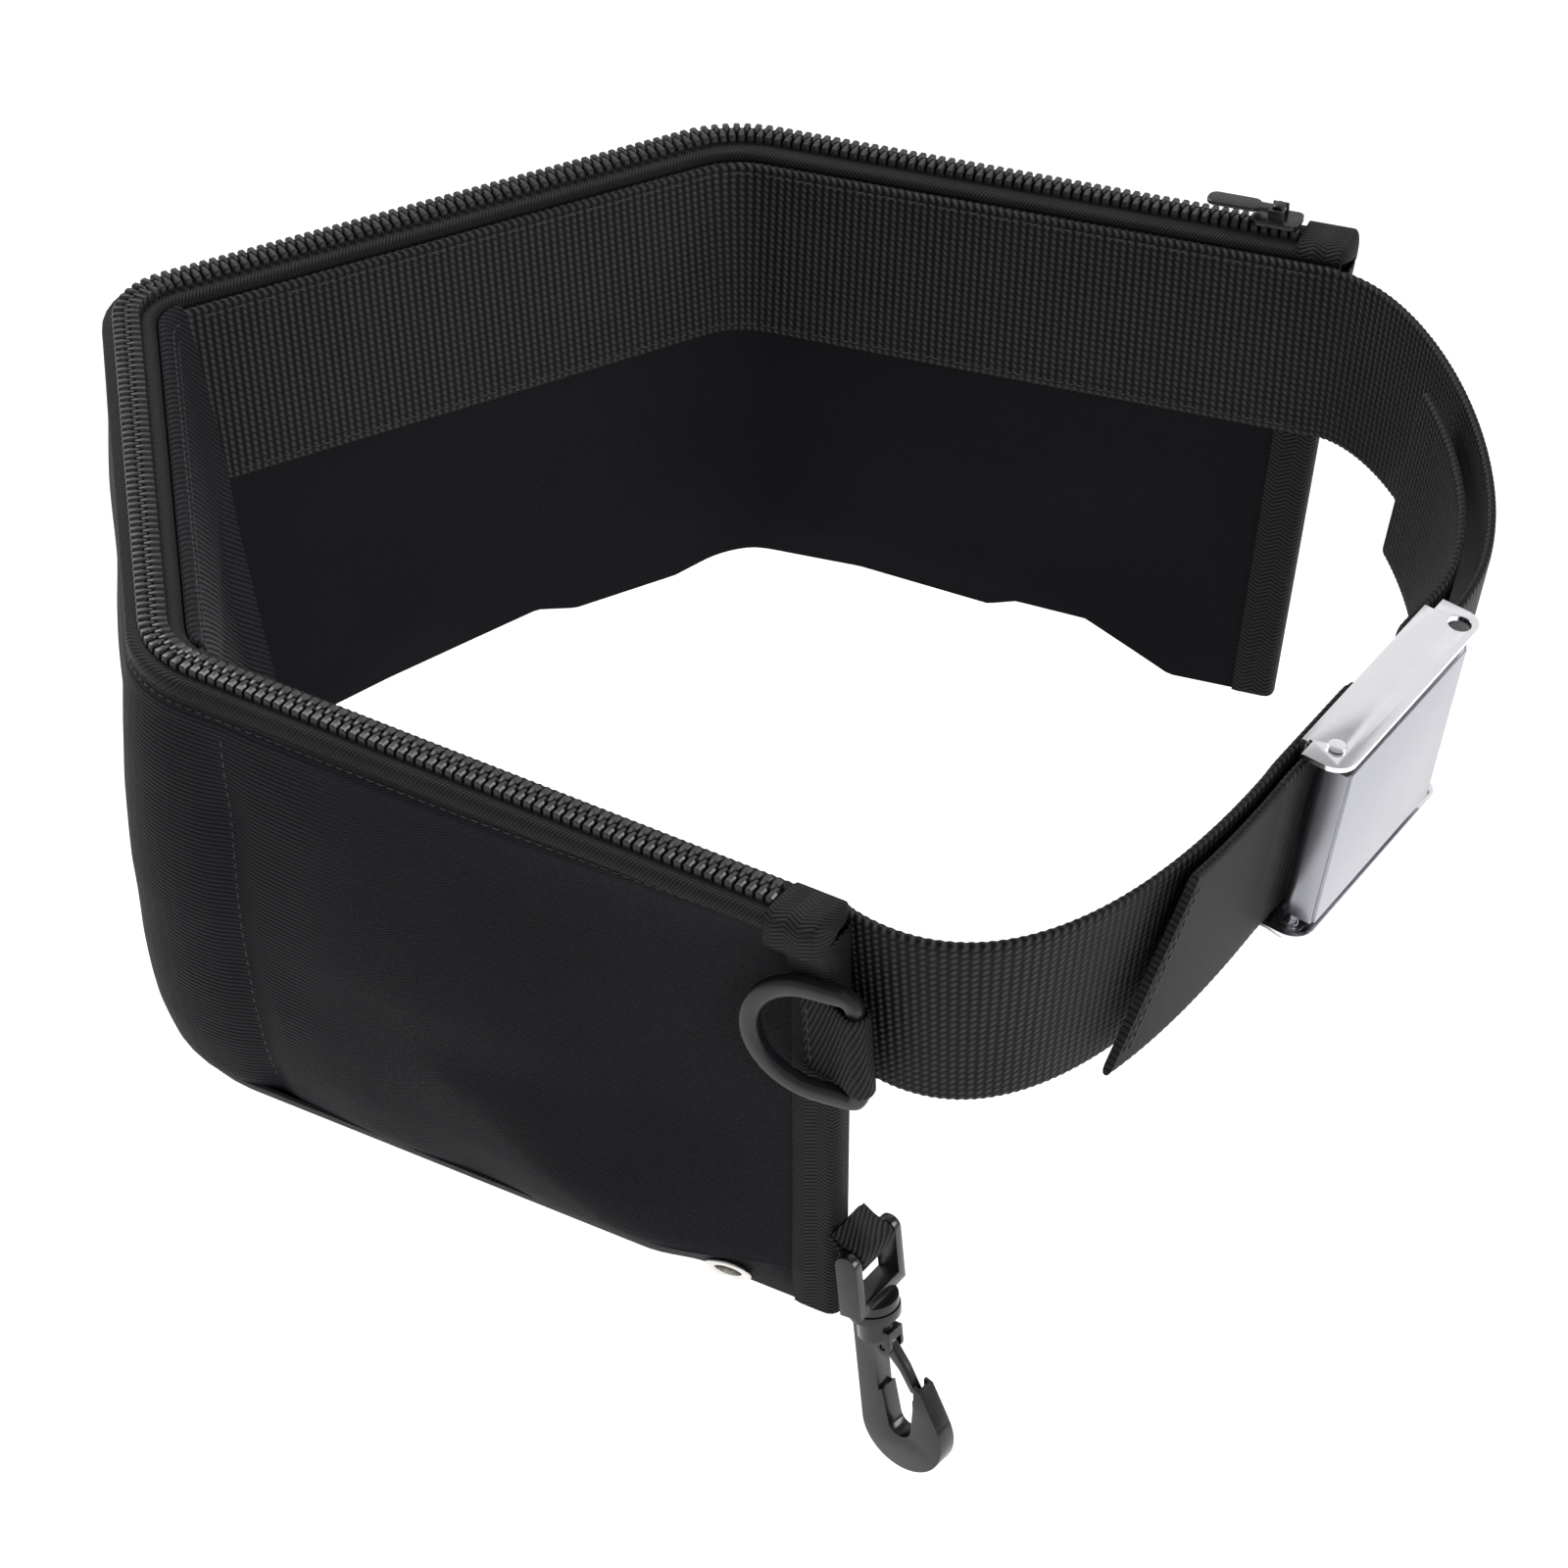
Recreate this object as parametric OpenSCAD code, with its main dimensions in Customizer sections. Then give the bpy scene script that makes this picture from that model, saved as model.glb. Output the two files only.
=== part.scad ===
// Zipped dive weight belt: a folded four-compartment pouch on a 50 mm webbing belt
// with a stainless quick-release buckle, a D-ring and a swivel snap hook.
// Millimetres, Z up, origin at the middle of the waist opening, level with the pouch bottom.

/* [Pouch] */
// Top-edge length of the compartment that carries the D-ring
near_len = 190; // [150:1:230]
// Top-edge length of the compartment on the wearer's left
left_len = 160; // [130:1:200]
// Top-edge length of the first back compartment
back_len = 175; // [140:1:210]
// Top-edge length of the last compartment, where the zip closes
far_len = 175; // [140:1:210]
// Height of the pouch, bottom fold to zip
pouch_h = 136; // [110:1:165]
// Depth of a filled compartment at half height
belly_depth = 23; // [18:0.5:30]
// Thickness of the pouch cloth
cloth_t = 1.2; // [0.8:0.1:1.6]
// How far the bottom of each compartment stands in under its top
taper = 14; // [6:1:20]

/* [Zip] */
// Distance of the zip's middle from the inner face
zip_offset = 7; // [6:0.5:8]
// Width of one row of teeth
teeth_w = 3.2; // [2.6:0.1:3.8]
// Height of the teeth
teeth_h = 2.6; // [2:0.1:3.2]
// Distance from the slider's middle to the end of the pouch when closed
slider_park = 20; // [17:1:40]
// Length of the slider body
slider_len = 13; // [10:0.5:16]

/* [Webbing] */
// Width of the belt webbing
web_w = 50; // [38:1:55]
// Thickness of the belt webbing
web_t = 2.4; // [1.8:0.1:2.8]
// How far the buckle stands out from the line between the pouch ends
loop_reach = 71; // [55:1:95]
// Length of the loose end outside the near strap
outer_tail = 58; // [50:1:120]
// Length of the loose end inside the far strap
inner_tail = 88; // [50:1:110]

/* [Buckle] */
// Length of the buckle base
buckle_len = 76; // [70:1:90]
// Height of the side flanges above the base plate
flange_h = 13; // [12:0.5:16]
// Thickness of the stainless sheet
steel_t = 1.5; // [1.2:0.1:2]
// Diameter of the lanyard hole in the flanges
lanyard_d = 6; // [4:0.5:7]
// Diameter of the lever's pin
pin_d = 3.4; // [2.6:0.2:4]

/* [D-ring and snap hook] */
// Width of the tape that holds the D-ring
ring_tape_w = 25; // [20:1:28]
// Thickness of the D-ring
ring_t = 4.4; // [3.6:0.2:5]
// Length of the D-ring from its bar to its bow
ring_depth = 30; // [26:1:36]
// Width of the tape that holds the snap hook
clip_tape_w = 14; // [12:1:18]
// Length of the snap hook below its swivel
hook_len = 47; // [40:1:56]
// Width of the snap hook
hook_w = 22; // [20:1:26]
// Thickness of the snap hook
hook_t = 5.4; // [5:0.2:8]
// Clear diameter of each drain eyelet
drain_d = 7; // [5:0.5:9]

/* [Hidden] */
$fn = 48;

shell_color = "#25262a";
lining_color = "#1b1c20";
web_color = "#1c1c1c";
plastic_color = "#1a1a1c";
steel_color = "#c9c9d1";

gap = 0.3;            // clearance between pieces that move past each other
lay = 0.2;            // clearance between layers that are sewn together
end_t = 4.4;          // thickness of the pouch where its two panels are bound together
rim_w = 2 * zip_offset - 0.5; // width of the zipped top
floor_z = 12;         // height at which the outer panel turns under
end_slant = 10;       // how far the ends draw in at the bottom
fill_top = 120;       // the pouch fills out over this length from each end
fill_foot = 35;       // and over this length along its foot
tab_len = 13;         // length of the zip's end tabs
drain_from_end = 27;  // from the end of the pouch to the middle of its eyelet
hole_half = drain_d / 2 + 1; // half the square hole in the cloth that clears an eyelet's barrel
buckle_shift = 21;    // how far the buckle sits nearer to the D-ring end

// ---- Plan of the belt: four straight compartments folded round the waist ----
lens = [near_len, left_len, back_len, far_len];
folds = [49, 69, 49];
headings = [147, 147 - folds[0], 147 - folds[0] - folds[1], 147 - folds[0] - folds[1] - folds[2]];
fold_r = [20, 12, 22];
leans = [taper + 1, taper - 5, taper + 10, taper + 1, taper + 2];

function dir(a) = [cos(a), sin(a)];
function out(a) = [-sin(a), cos(a)];
function mix(a, b, t) = a + (b - a) * t;
function smooth(t) = let (c = min(1, max(0, t))) c * c * (3 - 2 * c);
function sum_to(i) = i == 0 ? [0, 0] : sum_to(i - 1) + lens[i - 1] * dir(headings[i - 1]);
function bisector(i) = let (s = out(headings[i - 1]) + out(headings[i])) s / (1 + cos(folds[i - 1]));

raw = [for (i = [0:4]) sum_to(i)];
chord = raw[0] - raw[4];
chord_a = atan2(chord.y, chord.x);
raw_buckle = (raw[0] + raw[4]) / 2 + loop_reach * out(chord_a) + buckle_shift * dir(chord_a);
waist = (raw[0] + raw[1] + raw[2] + raw[3] + raw[4] + raw_buckle) / 6;

top_corners = [for (p = raw) p - waist];
bottom_corners = [
    top_corners[0] - leans[0] * out(headings[0]) + end_slant * dir(headings[0]),
    for (i = [1:3]) top_corners[i] - leans[i] * bisector(i),
    top_corners[4] - leans[4] * out(headings[3]) - end_slant * dir(headings[3])];

// Stations along one edge: [x, y, heading, distance from the nearer pouch end].
arc_n = 4;
seg_n = 7;
drain_k = 2;
no_end = 1000;        // the middle compartments lie far from either end
function turn(c, i) = let (a = c[i] - c[i - 1], b = c[i + 1] - c[i])
    atan2(a.y, a.x) - atan2(b.y, b.x);
function cut_back(c, i) = i == 0 || i == 4 ? 0 : fold_r[i - 1] * tan(turn(c, i) / 2);
// Stations lie closer together towards the two ends of the pouch, where it thins.
function from_end(s) = [0, tab_len, drain_from_end - hole_half, drain_from_end + hole_half,
    mix(drain_from_end, s, 0.23), mix(drain_from_end, s, 0.38), mix(drain_from_end, s, 0.6), s];
function spread(i, l, s0, s1) = i == 0 ? from_end(s1) :
    i == 3 ? let (f = from_end(l - s0)) [for (j = [seg_n:-1:0]) l - f[j]] :
    [for (j = [0:seg_n]) mix(s0, s1, j / seg_n)];
function segment(c, i) = let (d = c[i + 1] - c[i], a = atan2(d.y, d.x), l = norm(d))
    [for (s = spread(i, l, cut_back(c, i), l - cut_back(c, i + 1)))
        let (p = c[i] + s * dir(a)) [p.x, p.y, a, i == 0 ? s : i == 3 ? l - s : no_end]];
function fold_arc(c, i) = let (d = c[i] - c[i - 1], a = atan2(d.y, d.x), r = fold_r[i - 1],
        q = c[i] - cut_back(c, i) * dir(a) - r * out(a), f = turn(c, i))
    [for (j = [1:arc_n - 1]) let (h = a - f * j / arc_n, p = q + r * out(h)) [p.x, p.y, h, no_end]];
function edge(c) = [for (i = [0:3]) each concat(i > 0 ? fold_arc(c, i) : [], segment(c, i))];

top_edge = edge(top_corners);
bottom_edge = edge(bottom_corners);
last = len(top_edge) - 1;

// A point of the pouch: station k, height share h, distance w outside the inner face.
function heading_at(k, h) = mix(bottom_edge[k][2], top_edge[k][2], h);
function at(k, h, w) = let (p = mix(bottom_edge[k], top_edge[k], h), o = out(heading_at(k, h)))
    [p.x + w * o.x, p.y + w * o.y, h * pouch_h];
function fill(k, h) = smooth(top_edge[k][3] / mix(fill_foot, fill_top, min(1, 2.5 * h)));
function full_w(h) = lookup(h, [[0, 4], [floor_z / pouch_h, belly_depth - 6], [0.3, belly_depth - 1],
    [0.5, belly_depth], [0.8, belly_depth - 5], [0.97, rim_w + 1], [1, rim_w]]);
function thin_w(h) = lookup(h, [[0, end_t], [0.88, end_t + 0.6], [0.95, rim_w - 2], [0.975, rim_w],
    [1, rim_w]]);
function outer_w(k, h) = mix(thin_w(h), full_w(h), fill(k, h));

// ---- Solids between rings of points; a ring runs up the outside and down the inside ----
function split(f) = [[f[0], f[1], f[2]], [f[0], f[2], f[3]]];
// After each station in holes, the strip between points 2 and 3 and the one behind it stay open.
module loft(rings, holes = []) {
    n = len(rings[0]);
    m = n / 2 - 1;
    e = len(rings) - 1;
    function id(k, i) = k * n + i % n;
    polyhedron(
        points = [for (r = rings) each r],
        faces = [
            for (k = [0:e - 1], i = [0:n - 1]) if (len(search(k, holes)) == 0 || (i != 2 && i != n - 4))
                each split([id(k, i), id(k + 1, i), id(k + 1, i + 1), id(k, i + 1)]),
            for (k = holes, w = [[0, 2, 1, 2, 1, -3, 0, -3], [1, 3, 0, 3, 0, -4, 1, -4],
                [1, 2, 1, 3, 1, -4, 1, -3], [0, 3, 0, 2, 0, -3, 0, -4]])
                each split([for (j = [0:3]) id(k + w[2 * j], w[2 * j + 1] + n)]),
            for (j = [0:m - 1]) each concat(
                split([id(0, j), id(0, j + 1), id(0, n - 2 - j), id(0, n - 1 - j)]),
                split([id(e, n - 1 - j), id(e, n - 2 - j), id(e, j + 1), id(e, j)]))],
        convexity = 10);
}

// A layer of the pouch between two offsets, over stations ks and height shares hs.
module layer(ks, hs, w_in, w_out) {
    back = [for (i = [len(hs) - 1:-1:0]) hs[i]];
    loft([for (k = ks)
        concat([for (h = hs) at(k, h, w_out(k, h))], [for (h = back) at(k, h, w_in(k, h))])]);
}

all_k = [0:last];
floor_h = floor_z / pouch_h;
rim_h = 1 - cloth_t / pouch_h;
panel_hs = [floor_h, 0.3, 0.5, 0.8, 0.94, rim_h];

module outer_panel() {
    color(shell_color)
        layer(all_k, panel_hs, function(k, h) outer_w(k, h) - cloth_t, function(k, h) outer_w(k, h));
}

module inner_panel() {
    color(lining_color)
        layer(all_k, [2 / pouch_h, 0.5, rim_h], function(k, h) 0, function(k, h) cloth_t);
}

// The cloth that turns under the pouch, from the outer panel to the foot of the inner one.
under_top = (floor_z - lay) / pouch_h;
under_low = cloth_t / pouch_h;
drain_ends = [0, 1];
function under(k, h) = mix(end_t, outer_w(k, floor_h), h / floor_h);
function inner_under(k, h) = mix(end_t - cloth_t / 2, under(k, under_top) - cloth_t,
    (h - under_low) / (under_top - under_low));
function drain_station(e) = e == 0 ? drain_k : last - drain_k - 1;
function drain_point(e, t) = let (k = drain_station(e), h = t * floor_h)
    mix(at(k, h, under(k, h)), at(k + 1, h, under(k + 1, h)), 0.5);
hole_share = hole_half / norm(drain_point(0, 1) - drain_point(0, 0));
hole_hs = [floor_h * (0.5 - hole_share), floor_h * (0.5 + hole_share)];
hole_rise = 0.5 / pouch_h; // the hole leans with the cloth
module bottom_panel() {
    // Square holes clear the eyelets' round barrels.
    color(shell_color) loft([for (k = all_k) [
        at(k, 0, cloth_t), at(k, 0, end_t), each [for (h = hole_hs) at(k, h, under(k, h))],
        at(k, under_top, under(k, under_top)), at(k, under_top, under(k, under_top) - cloth_t),
        each [for (h = [hole_hs[1], hole_hs[0]]) at(k, h + hole_rise, inner_under(k, h + hole_rise))],
        at(k, under_low, end_t - cloth_t / 2), at(k, under_low, cloth_t)]],
        [for (e = drain_ends) drain_station(e)]);
}

// A flat wall across the pouch at station k, from d0 to d1 along the pouch.
module cross_wall(k, hs, w_in, w_out, d0, d1) {
    a = heading_at(k, 0.5);
    function p(h, w, d) = at(k, h, w) + d * [cos(a), sin(a), 0];
    back = [for (i = [len(hs) - 1:-1:0]) hs[i]];
    loft([for (d = [d0, d1])
        concat([for (h = hs) p(h, w_out(k, h), d)], [for (h = back) p(h, w_in(k, h), d)])]);
}

// Cloth walls inside the folds keep the weights in their own compartments.
wall_hs = [floor_h, 0.3, 0.5, 0.8, 0.92];
module fold_wall(i) {
    color(lining_color) cross_wall(i * (seg_n + arc_n) - arc_n / 2, wall_hs,
        function(k, h) cloth_t + lay, function(k, h) outer_w(k, h) - cloth_t - 2 * lay,
        -cloth_t / 2, cloth_t / 2);
}
module wall_near_left() { fold_wall(1); }
module wall_left_back() { fold_wall(2); }
module wall_back_far() { fold_wall(3); }

// A ribbed facing covers the webbing along the left compartment.
cover_from = seg_n + 1;
cover_to = 2 * (seg_n + arc_n) - arc_n + 1;
web_lay = 0.8;        // room between the webbing and the lining or the facing
web_out = -web_lay;
web_in = web_out - web_t;
module webbing_cover() {
    color(shell_color)
        layer([cover_from:cover_to], [0.05, 0.5, 0.97], function(k, h) web_in - web_lay - cloth_t,
            function(k, h) web_in - web_lay);
}

// Binding tape closes each end of the pouch.
bind_t = 1.4;
bind_hs = [0.01, 0.5, 0.86];
module end_binding(k, d0, d1) {
    color(lining_color) cross_wall(k, bind_hs, function(k, h) cloth_t / 2, function(k, h) end_t, d0, d1);
}
module end_binding_near() { end_binding(0, -bind_t - lay, -lay); }
module end_binding_far() { end_binding(last, lay, bind_t + lay); }

// ---- Zip ----
zip_gap = 0.6;        // half the space between the two rows
tape_t = 0.8;
tape_hs = [1 - (tape_t + lay) / pouch_h, 1 - lay / pouch_h];
module zip_tape_outer() {
    color(lining_color)
        layer(all_k, tape_hs, function(k, h) zip_offset + zip_gap, function(k, h) rim_w);
}
module zip_tape_inner() {
    color(lining_color)
        layer(all_k, tape_hs, function(k, h) 0, function(k, h) zip_offset - zip_gap);
}
teeth_hs = [1, 1 + teeth_h / pouch_h];
teeth_k = [1:last - 1]; // the teeth stop at the end tabs
module zip_teeth_outer() {
    color(plastic_color) layer(teeth_k, teeth_hs,
        function(k, h) zip_offset + zip_gap, function(k, h) zip_offset + zip_gap + teeth_w);
}
module zip_teeth_inner() {
    color(plastic_color) layer(teeth_k, teeth_hs,
        function(k, h) zip_offset - zip_gap - teeth_w, function(k, h) zip_offset - zip_gap);
}
tab_t = 1.4;
tab_inset = 0.5;
module zip_end_tab(k, d0, d1) {
    color(lining_color) cross_wall(k, [1, 1 + tab_t / pouch_h], function(k, h) tab_inset,
        function(k, h) rim_w - tab_inset, d0, d1);
}
module zip_end_tab_near() { zip_end_tab(0, 0, tab_len - lay); }
module zip_end_tab_far() { zip_end_tab(last, lay - tab_len, 0); }

// Slider frame: x towards the closed end of the zip, y outwards, z up from the teeth's foot.
module at_slider() {
    p = at(last, 1, zip_offset);
    a = headings[3];
    translate(p - slider_park * [cos(a), sin(a), 0]) rotate([0, 0, a]) children();
}
slider_w = 2 * (zip_gap + teeth_w) + 1;
slider_r = 2;         // corner radius of the slider
plate_t = 1.4;
plate_z = teeth_h + gap;
sole_z = -tape_t - lay - gap - plate_t;
divider_t = 0.4;
lug_l = 4.4;
lug_h = 3.8;
lug_y = 2;            // the pull turns between the lugs, this far from the middle
pull_pin_r = 0.8;
pull_pin_z = plate_z + plate_t + 2.2;
module rounded_plate(l, w, t, r) {
    linear_extrude(height = t) union() {
        square([l - 2 * r, w], center = true);
        square([l, w - 2 * r], center = true);
        for (x = [-1, 1], y = [-1, 1]) translate([x * (l / 2 - r), y * (w / 2 - r)]) circle(r = r);
    }
}
module zip_slider() {
    color(plastic_color) at_slider() union() {
        translate([0, 0, plate_z]) rounded_plate(slider_len, slider_w, plate_t, slider_r);
        translate([0, 0, sole_z]) rounded_plate(slider_len, slider_w - 1, plate_t, slider_r);
        translate([-slider_len / 4, -divider_t / 2, sole_z + plate_t / 2])
            cube([slider_len / 2, divider_t, plate_z - sole_z]);
        for (y = [-lug_y - 1, lug_y]) translate([-lug_l / 2, y, plate_z + plate_t / 2])
            cube([lug_l, 1, lug_h]);
        translate([0, 0, pull_pin_z]) rotate([90, 0, 0])
            cylinder(h = 2 * lug_y + 1.6, r = pull_pin_r, center = true);
    }
}
pull_len = 20;
pull_w = 6;
pull_t = 1.2;
module zip_pull() {
    color(plastic_color) at_slider() translate([0, 0, pull_pin_z]) union() {
        rotate([90, 0, 0]) linear_extrude(height = 2 * (lug_y - gap), center = true) difference() {
            union() {
                circle(r = pull_pin_r + 1.1);
                translate([-pull_len / 2, -pull_t / 2]) square([pull_len / 2, pull_t]);
            }
            circle(r = pull_pin_r + gap);
        }
        translate([-pull_len * 0.62, 0, -pull_t / 2])
            rounded_plate(pull_len * 0.75, pull_w, pull_t, pull_w * 0.4);
    }
}

// ---- Belt webbing ----
web_drop = 3;         // from the zip down to the top edge of the webbing
web_top = 1 - web_drop / pouch_h;
web_low = web_top - web_w / pouch_h;
web_mid = (web_top + web_low) / 2;
web_z = web_mid * pouch_h;
buckle_a = chord_a - 6;
buckle_lean = 9;
buckle_p = raw_buckle - waist;
b_u = dir(buckle_a);
b_o = out(buckle_a);
// A point in the buckle's own frame: u along the belt, w outwards, v up.
function in_buckle(u, w, v) = let (s = sin(buckle_lean), c = cos(buckle_lean), o = w * c + v * s,
        p = buckle_p + u * b_u + o * b_o)
    [p.x, p.y, web_z + v * c - w * s];

// One cross-section of the webbing: plan point p, heading a, lean b.
function web_ring(p, a, b) = let (o = out(a), n = [o.x * cos(b), o.y * cos(b), -sin(b)] * web_t / 2,
        v = [o.x * sin(b), o.y * sin(b), cos(b)] * web_w / 2, c = [p.x, p.y, web_z])
    [c + n - v, c + n + v, c - n + v, c - n - v];
function sewn_ring(k) =
    [at(k, web_low, web_out), at(k, web_top, web_out), at(k, web_top, web_in), at(k, web_low, web_in)];
function bez(q, t) = let (s = 1 - t)
    s * s * s * q[0] + 3 * s * s * t * q[1] + 3 * s * t * t * q[2] + t * t * t * q[3];
function bez_a(q, t) = let (s = 1 - t,
        d = s * s * (q[1] - q[0]) + 2 * s * t * (q[2] - q[1]) + t * t * (q[3] - q[2]))
    atan2(d.y, d.x);
function flat(v) = [v.x, v.y];

half_b = buckle_len / 2;
under_w = -steel_t - gap - web_t / 2;      // webbing under the base plate
over_w = gap + web_t / 2;                  // webbing lying on the base plate
above_w = over_w + web_t + gap;            // free end lying on the fixed end
sewn_w = web_out - web_t / 2;                 // webbing sewn to the inside of the pouch
base_run = 6;                              // straight webbing beyond each end of the base
near_q = [
    flat(in_buckle(half_b + base_run, under_w, 0)),
    flat(in_buckle(half_b + base_run + 50, under_w + 2, 0)),
    flat(at(0, web_mid, 12)) - 48 * dir(headings[0]),
    flat(at(0, web_mid, sewn_w))];
far_q = [
    flat(at(last, web_mid, sewn_w)),
    flat(at(last, web_mid, -4)) + 30 * dir(headings[3]),
    flat(in_buckle(-half_b - base_run - 46, above_w, 0)),
    flat(in_buckle(-half_b - base_run, above_w, 0))];
function bez_len(q, n = 12) = let (p = [for (j = [0:n]) bez(q, j / n)]) sum_len(p, n);
function sum_len(p, i) = i == 0 ? 0 : norm(p[i] - p[i - 1]) + sum_len(p, i - 1);
// A loose end keeps beside the strap that it leaves: d mm outside it, or inside where d is negative.
function beside(q, t, d) = bez(q, t) + d * out(bez_a(q, t));
tail_lift = 3;        // how far the tip of a loose end springs away from the strap
sewn_lean = 6;        // lean of the webbing where it leaves the pouch

// The fixed end threads up through one slot of the base, over the bar and down the other.
slot_len = 9;
bar_half = 5;
bar_u = -10;
fixed_path = [[-half_b, under_w], [bar_u - bar_half - slot_len, under_w], [bar_u - bar_half, over_w],
    [bar_u + bar_half, over_w], [bar_u + bar_half + slot_len, under_w], [half_b, under_w]];
free_path = [[-half_b, above_w], [bar_u + bar_half + 3, above_w], [bar_u + bar_half + 18, over_w],
    [half_b, over_w]];
function path_ring(path, i) = let (t = web_t / 2, w = web_w / 2, u = path[i][0], y = path[i][1])
    [in_buckle(u, y + t, -w), in_buckle(u, y + t, w), in_buckle(u, y - t, w), in_buckle(u, y - t, -w)];

tail_n = 10;
tip_cut = 20;         // how far the slanted cut of the outer loose end leans
near_web = bez_len(near_q);
far_web = bez_len(far_q);
function tail_p(s) =
    beside(near_q, s / near_web, over_w - under_w + tail_lift * pow(s / outer_tail, 2));
function tail_ring(t) = let (s = t * outer_tail, c = t * (outer_tail - tip_cut), b = buckle_lean,
        low = web_ring(tail_p(s), bez_a(near_q, s / near_web), b),
        top = web_ring(tail_p(c), bez_a(near_q, c / near_web), b))
    [low[0], top[1], top[2], low[3]];
function inner_ring(t) = let (s = 1 - (1 - t) * inner_tail / far_web,
        p = beside(far_q, s, under_w - above_w - tail_lift * pow(1 - t, 2)))
    web_ring(p, bez_a(far_q, s), buckle_lean);

web_rings = concat(
    [for (j = [0:6]) inner_ring(j / 6)],
    [for (i = [0:len(fixed_path) - 1]) path_ring(fixed_path, i)],
    [for (j = [0:11]) let (t = j / 12)
        web_ring(bez(near_q, t), bez_a(near_q, t), mix(buckle_lean, sewn_lean, t))],
    [for (k = all_k) sewn_ring(k)],
    [for (j = [1:12]) let (t = j / 12)
        web_ring(bez(far_q, t), bez_a(far_q, t), mix(sewn_lean, buckle_lean, t))],
    [for (i = [0:len(free_path) - 1]) path_ring(free_path, i)],
    [for (j = [0:tail_n]) tail_ring(j / tail_n)]);
module belt_webbing() { color(web_color) loft(web_rings); }

// Rows of thread that close the free end of the webbing at its slanted tip.
thread_t = 0.6;
thread_inset = 0.08;
thread_lift = 0.7;
function thread_ring(r) = let (n = (r[0] - r[3]) / norm(r[0] - r[3]),
        a = mix(r[0], r[1], thread_inset) + n * thread_lift, b = mix(r[1], r[0], thread_inset) + n * thread_lift)
    [a + n * thread_t, b + n * thread_t, b, a];
module tail_stitching() {
    tip = [tail_ring(1 - 1 / tail_n), tail_ring(1)];
    function near_tip(t) = [for (i = [0:3]) mix(tip[0][i], tip[1][i], t)];
    color(web_color) for (t = [0.3, 0.7]) loft([thread_ring(near_tip(t)), thread_ring(near_tip(t + 0.12))]);
}

// ---- Buckle: x along the belt towards the near side, y outwards, z up ----
module at_buckle() {
    translate([buckle_p.x, buckle_p.y, web_z]) rotate([0, 0, buckle_a]) rotate([-buckle_lean, 0, 0])
        children();
}
web_side = 1.2;       // room beside the webbing between the flanges
base_half = web_w / 2 + web_side;
pin_u = half_b - 7.5;
pin_w = 6.6;
lanyard_u = -half_b + 6;
lanyard_w = flange_h - 4.4;
flange_r = 5;
flange_lift = 1;      // the ends of the flanges clear the base by this much
pin_gap = 0.1;
module flange() {
    linear_extrude(height = steel_t) difference() {
        union() {
            translate([-half_b + flange_r, -steel_t])
                square([buckle_len - 2 * flange_r - 1, flange_h + steel_t]);
            translate([-half_b + flange_r, flange_h - flange_r]) circle(r = flange_r);
            translate([-half_b, flange_lift]) square([6, flange_h - flange_r - flange_lift]);
            translate([half_b - 6, flange_lift]) square([6, flange_h - flange_r - flange_lift - 1]);
            translate([half_b - 6, flange_h - 6]) circle(r = 6);
        }
        translate([lanyard_u, lanyard_w]) circle(d = lanyard_d);
        translate([pin_u, pin_w]) circle(r = pin_d / 2 + pin_gap);
    }
}
module buckle_base() {
    color(steel_color) at_buckle() union() {
        for (z = [base_half, -base_half - steel_t]) translate([0, 0, z]) flange();
        difference() {
            translate([-half_b + flange_r, -steel_t, -base_half - steel_t])
                cube([buckle_len - 2 * flange_r, steel_t, 2 * (base_half + steel_t)]);
            for (u = [bar_u - bar_half - slot_len, bar_u + bar_half])
                translate([u, -steel_t - 1, -base_half]) cube([slot_len, steel_t + 2, 2 * base_half]);
        }
    }
}
lever_half = base_half - 2.7;
lever_tip = -half_b + 9;
cam_r = pin_d / 2 + 1.4;
cam_wall = 1.9;
module buckle_lever() {
    color(steel_color) at_buckle() linear_extrude(height = 2 * lever_half, center = true) difference() {
        union() {
            translate([lever_tip, flange_h - steel_t]) square([pin_u - lever_tip + 2, steel_t]);
            translate([lever_tip, flange_h - steel_t / 2]) circle(d = steel_t);
            translate([pin_u, pin_w]) circle(r = cam_r);
            for (u = [pin_u - cam_r, pin_u + cam_r - cam_wall])
                translate([u, pin_w]) square([cam_wall, flange_h - pin_w - steel_t / 2]);
        }
        translate([pin_u, pin_w]) circle(r = pin_d / 2 + pin_gap);
    }
}
pin_head_t = 0.8;
module lever_pin() {
    color(steel_color) at_buckle() translate([pin_u, pin_w, 0]) union() {
        cylinder(h = 2 * (base_half + steel_t) + 1, d = pin_d, center = true);
        for (s = [-1, 1]) translate([0, 0, s * (base_half + steel_t + pin_gap + pin_head_t / 2)])
            cylinder(h = pin_head_t, d = pin_d + 1.4, center = true);
    }
}

// ---- D-ring: x from the bar back over the pouch, y outwards, z up ----
ring_z = 0.72;
bar_out = 9;          // from the end of the pouch to the bar
ring_w = end_t + 4;
ring_open = 8;        // the ring lies back over the pouch at this angle
ring_lean = 6.5;
module at_ring() {
    p = at(0, ring_z, ring_w) - bar_out * [each dir(headings[0]), 0];
    translate(p) rotate([0, 0, headings[0]]) rotate([-ring_lean, 0, 0]) children();
}
ring_tape_t = 1.4;
ring_tape_low = -2.7; // the tape's two layers lie on the pouch
module d_ring_loop() {
    r = ring_t / 2 + gap;
    color(web_color) at_ring() linear_extrude(height = ring_tape_w, center = true) difference() {
        union() {
            circle(r = r + ring_tape_t);
            translate([0, ring_tape_low]) square([bar_out + 6, 2 * ring_tape_t]);
        }
        circle(r = r);
    }
}
ring_h = ring_tape_w + 3;
ring_band = 5;
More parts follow.
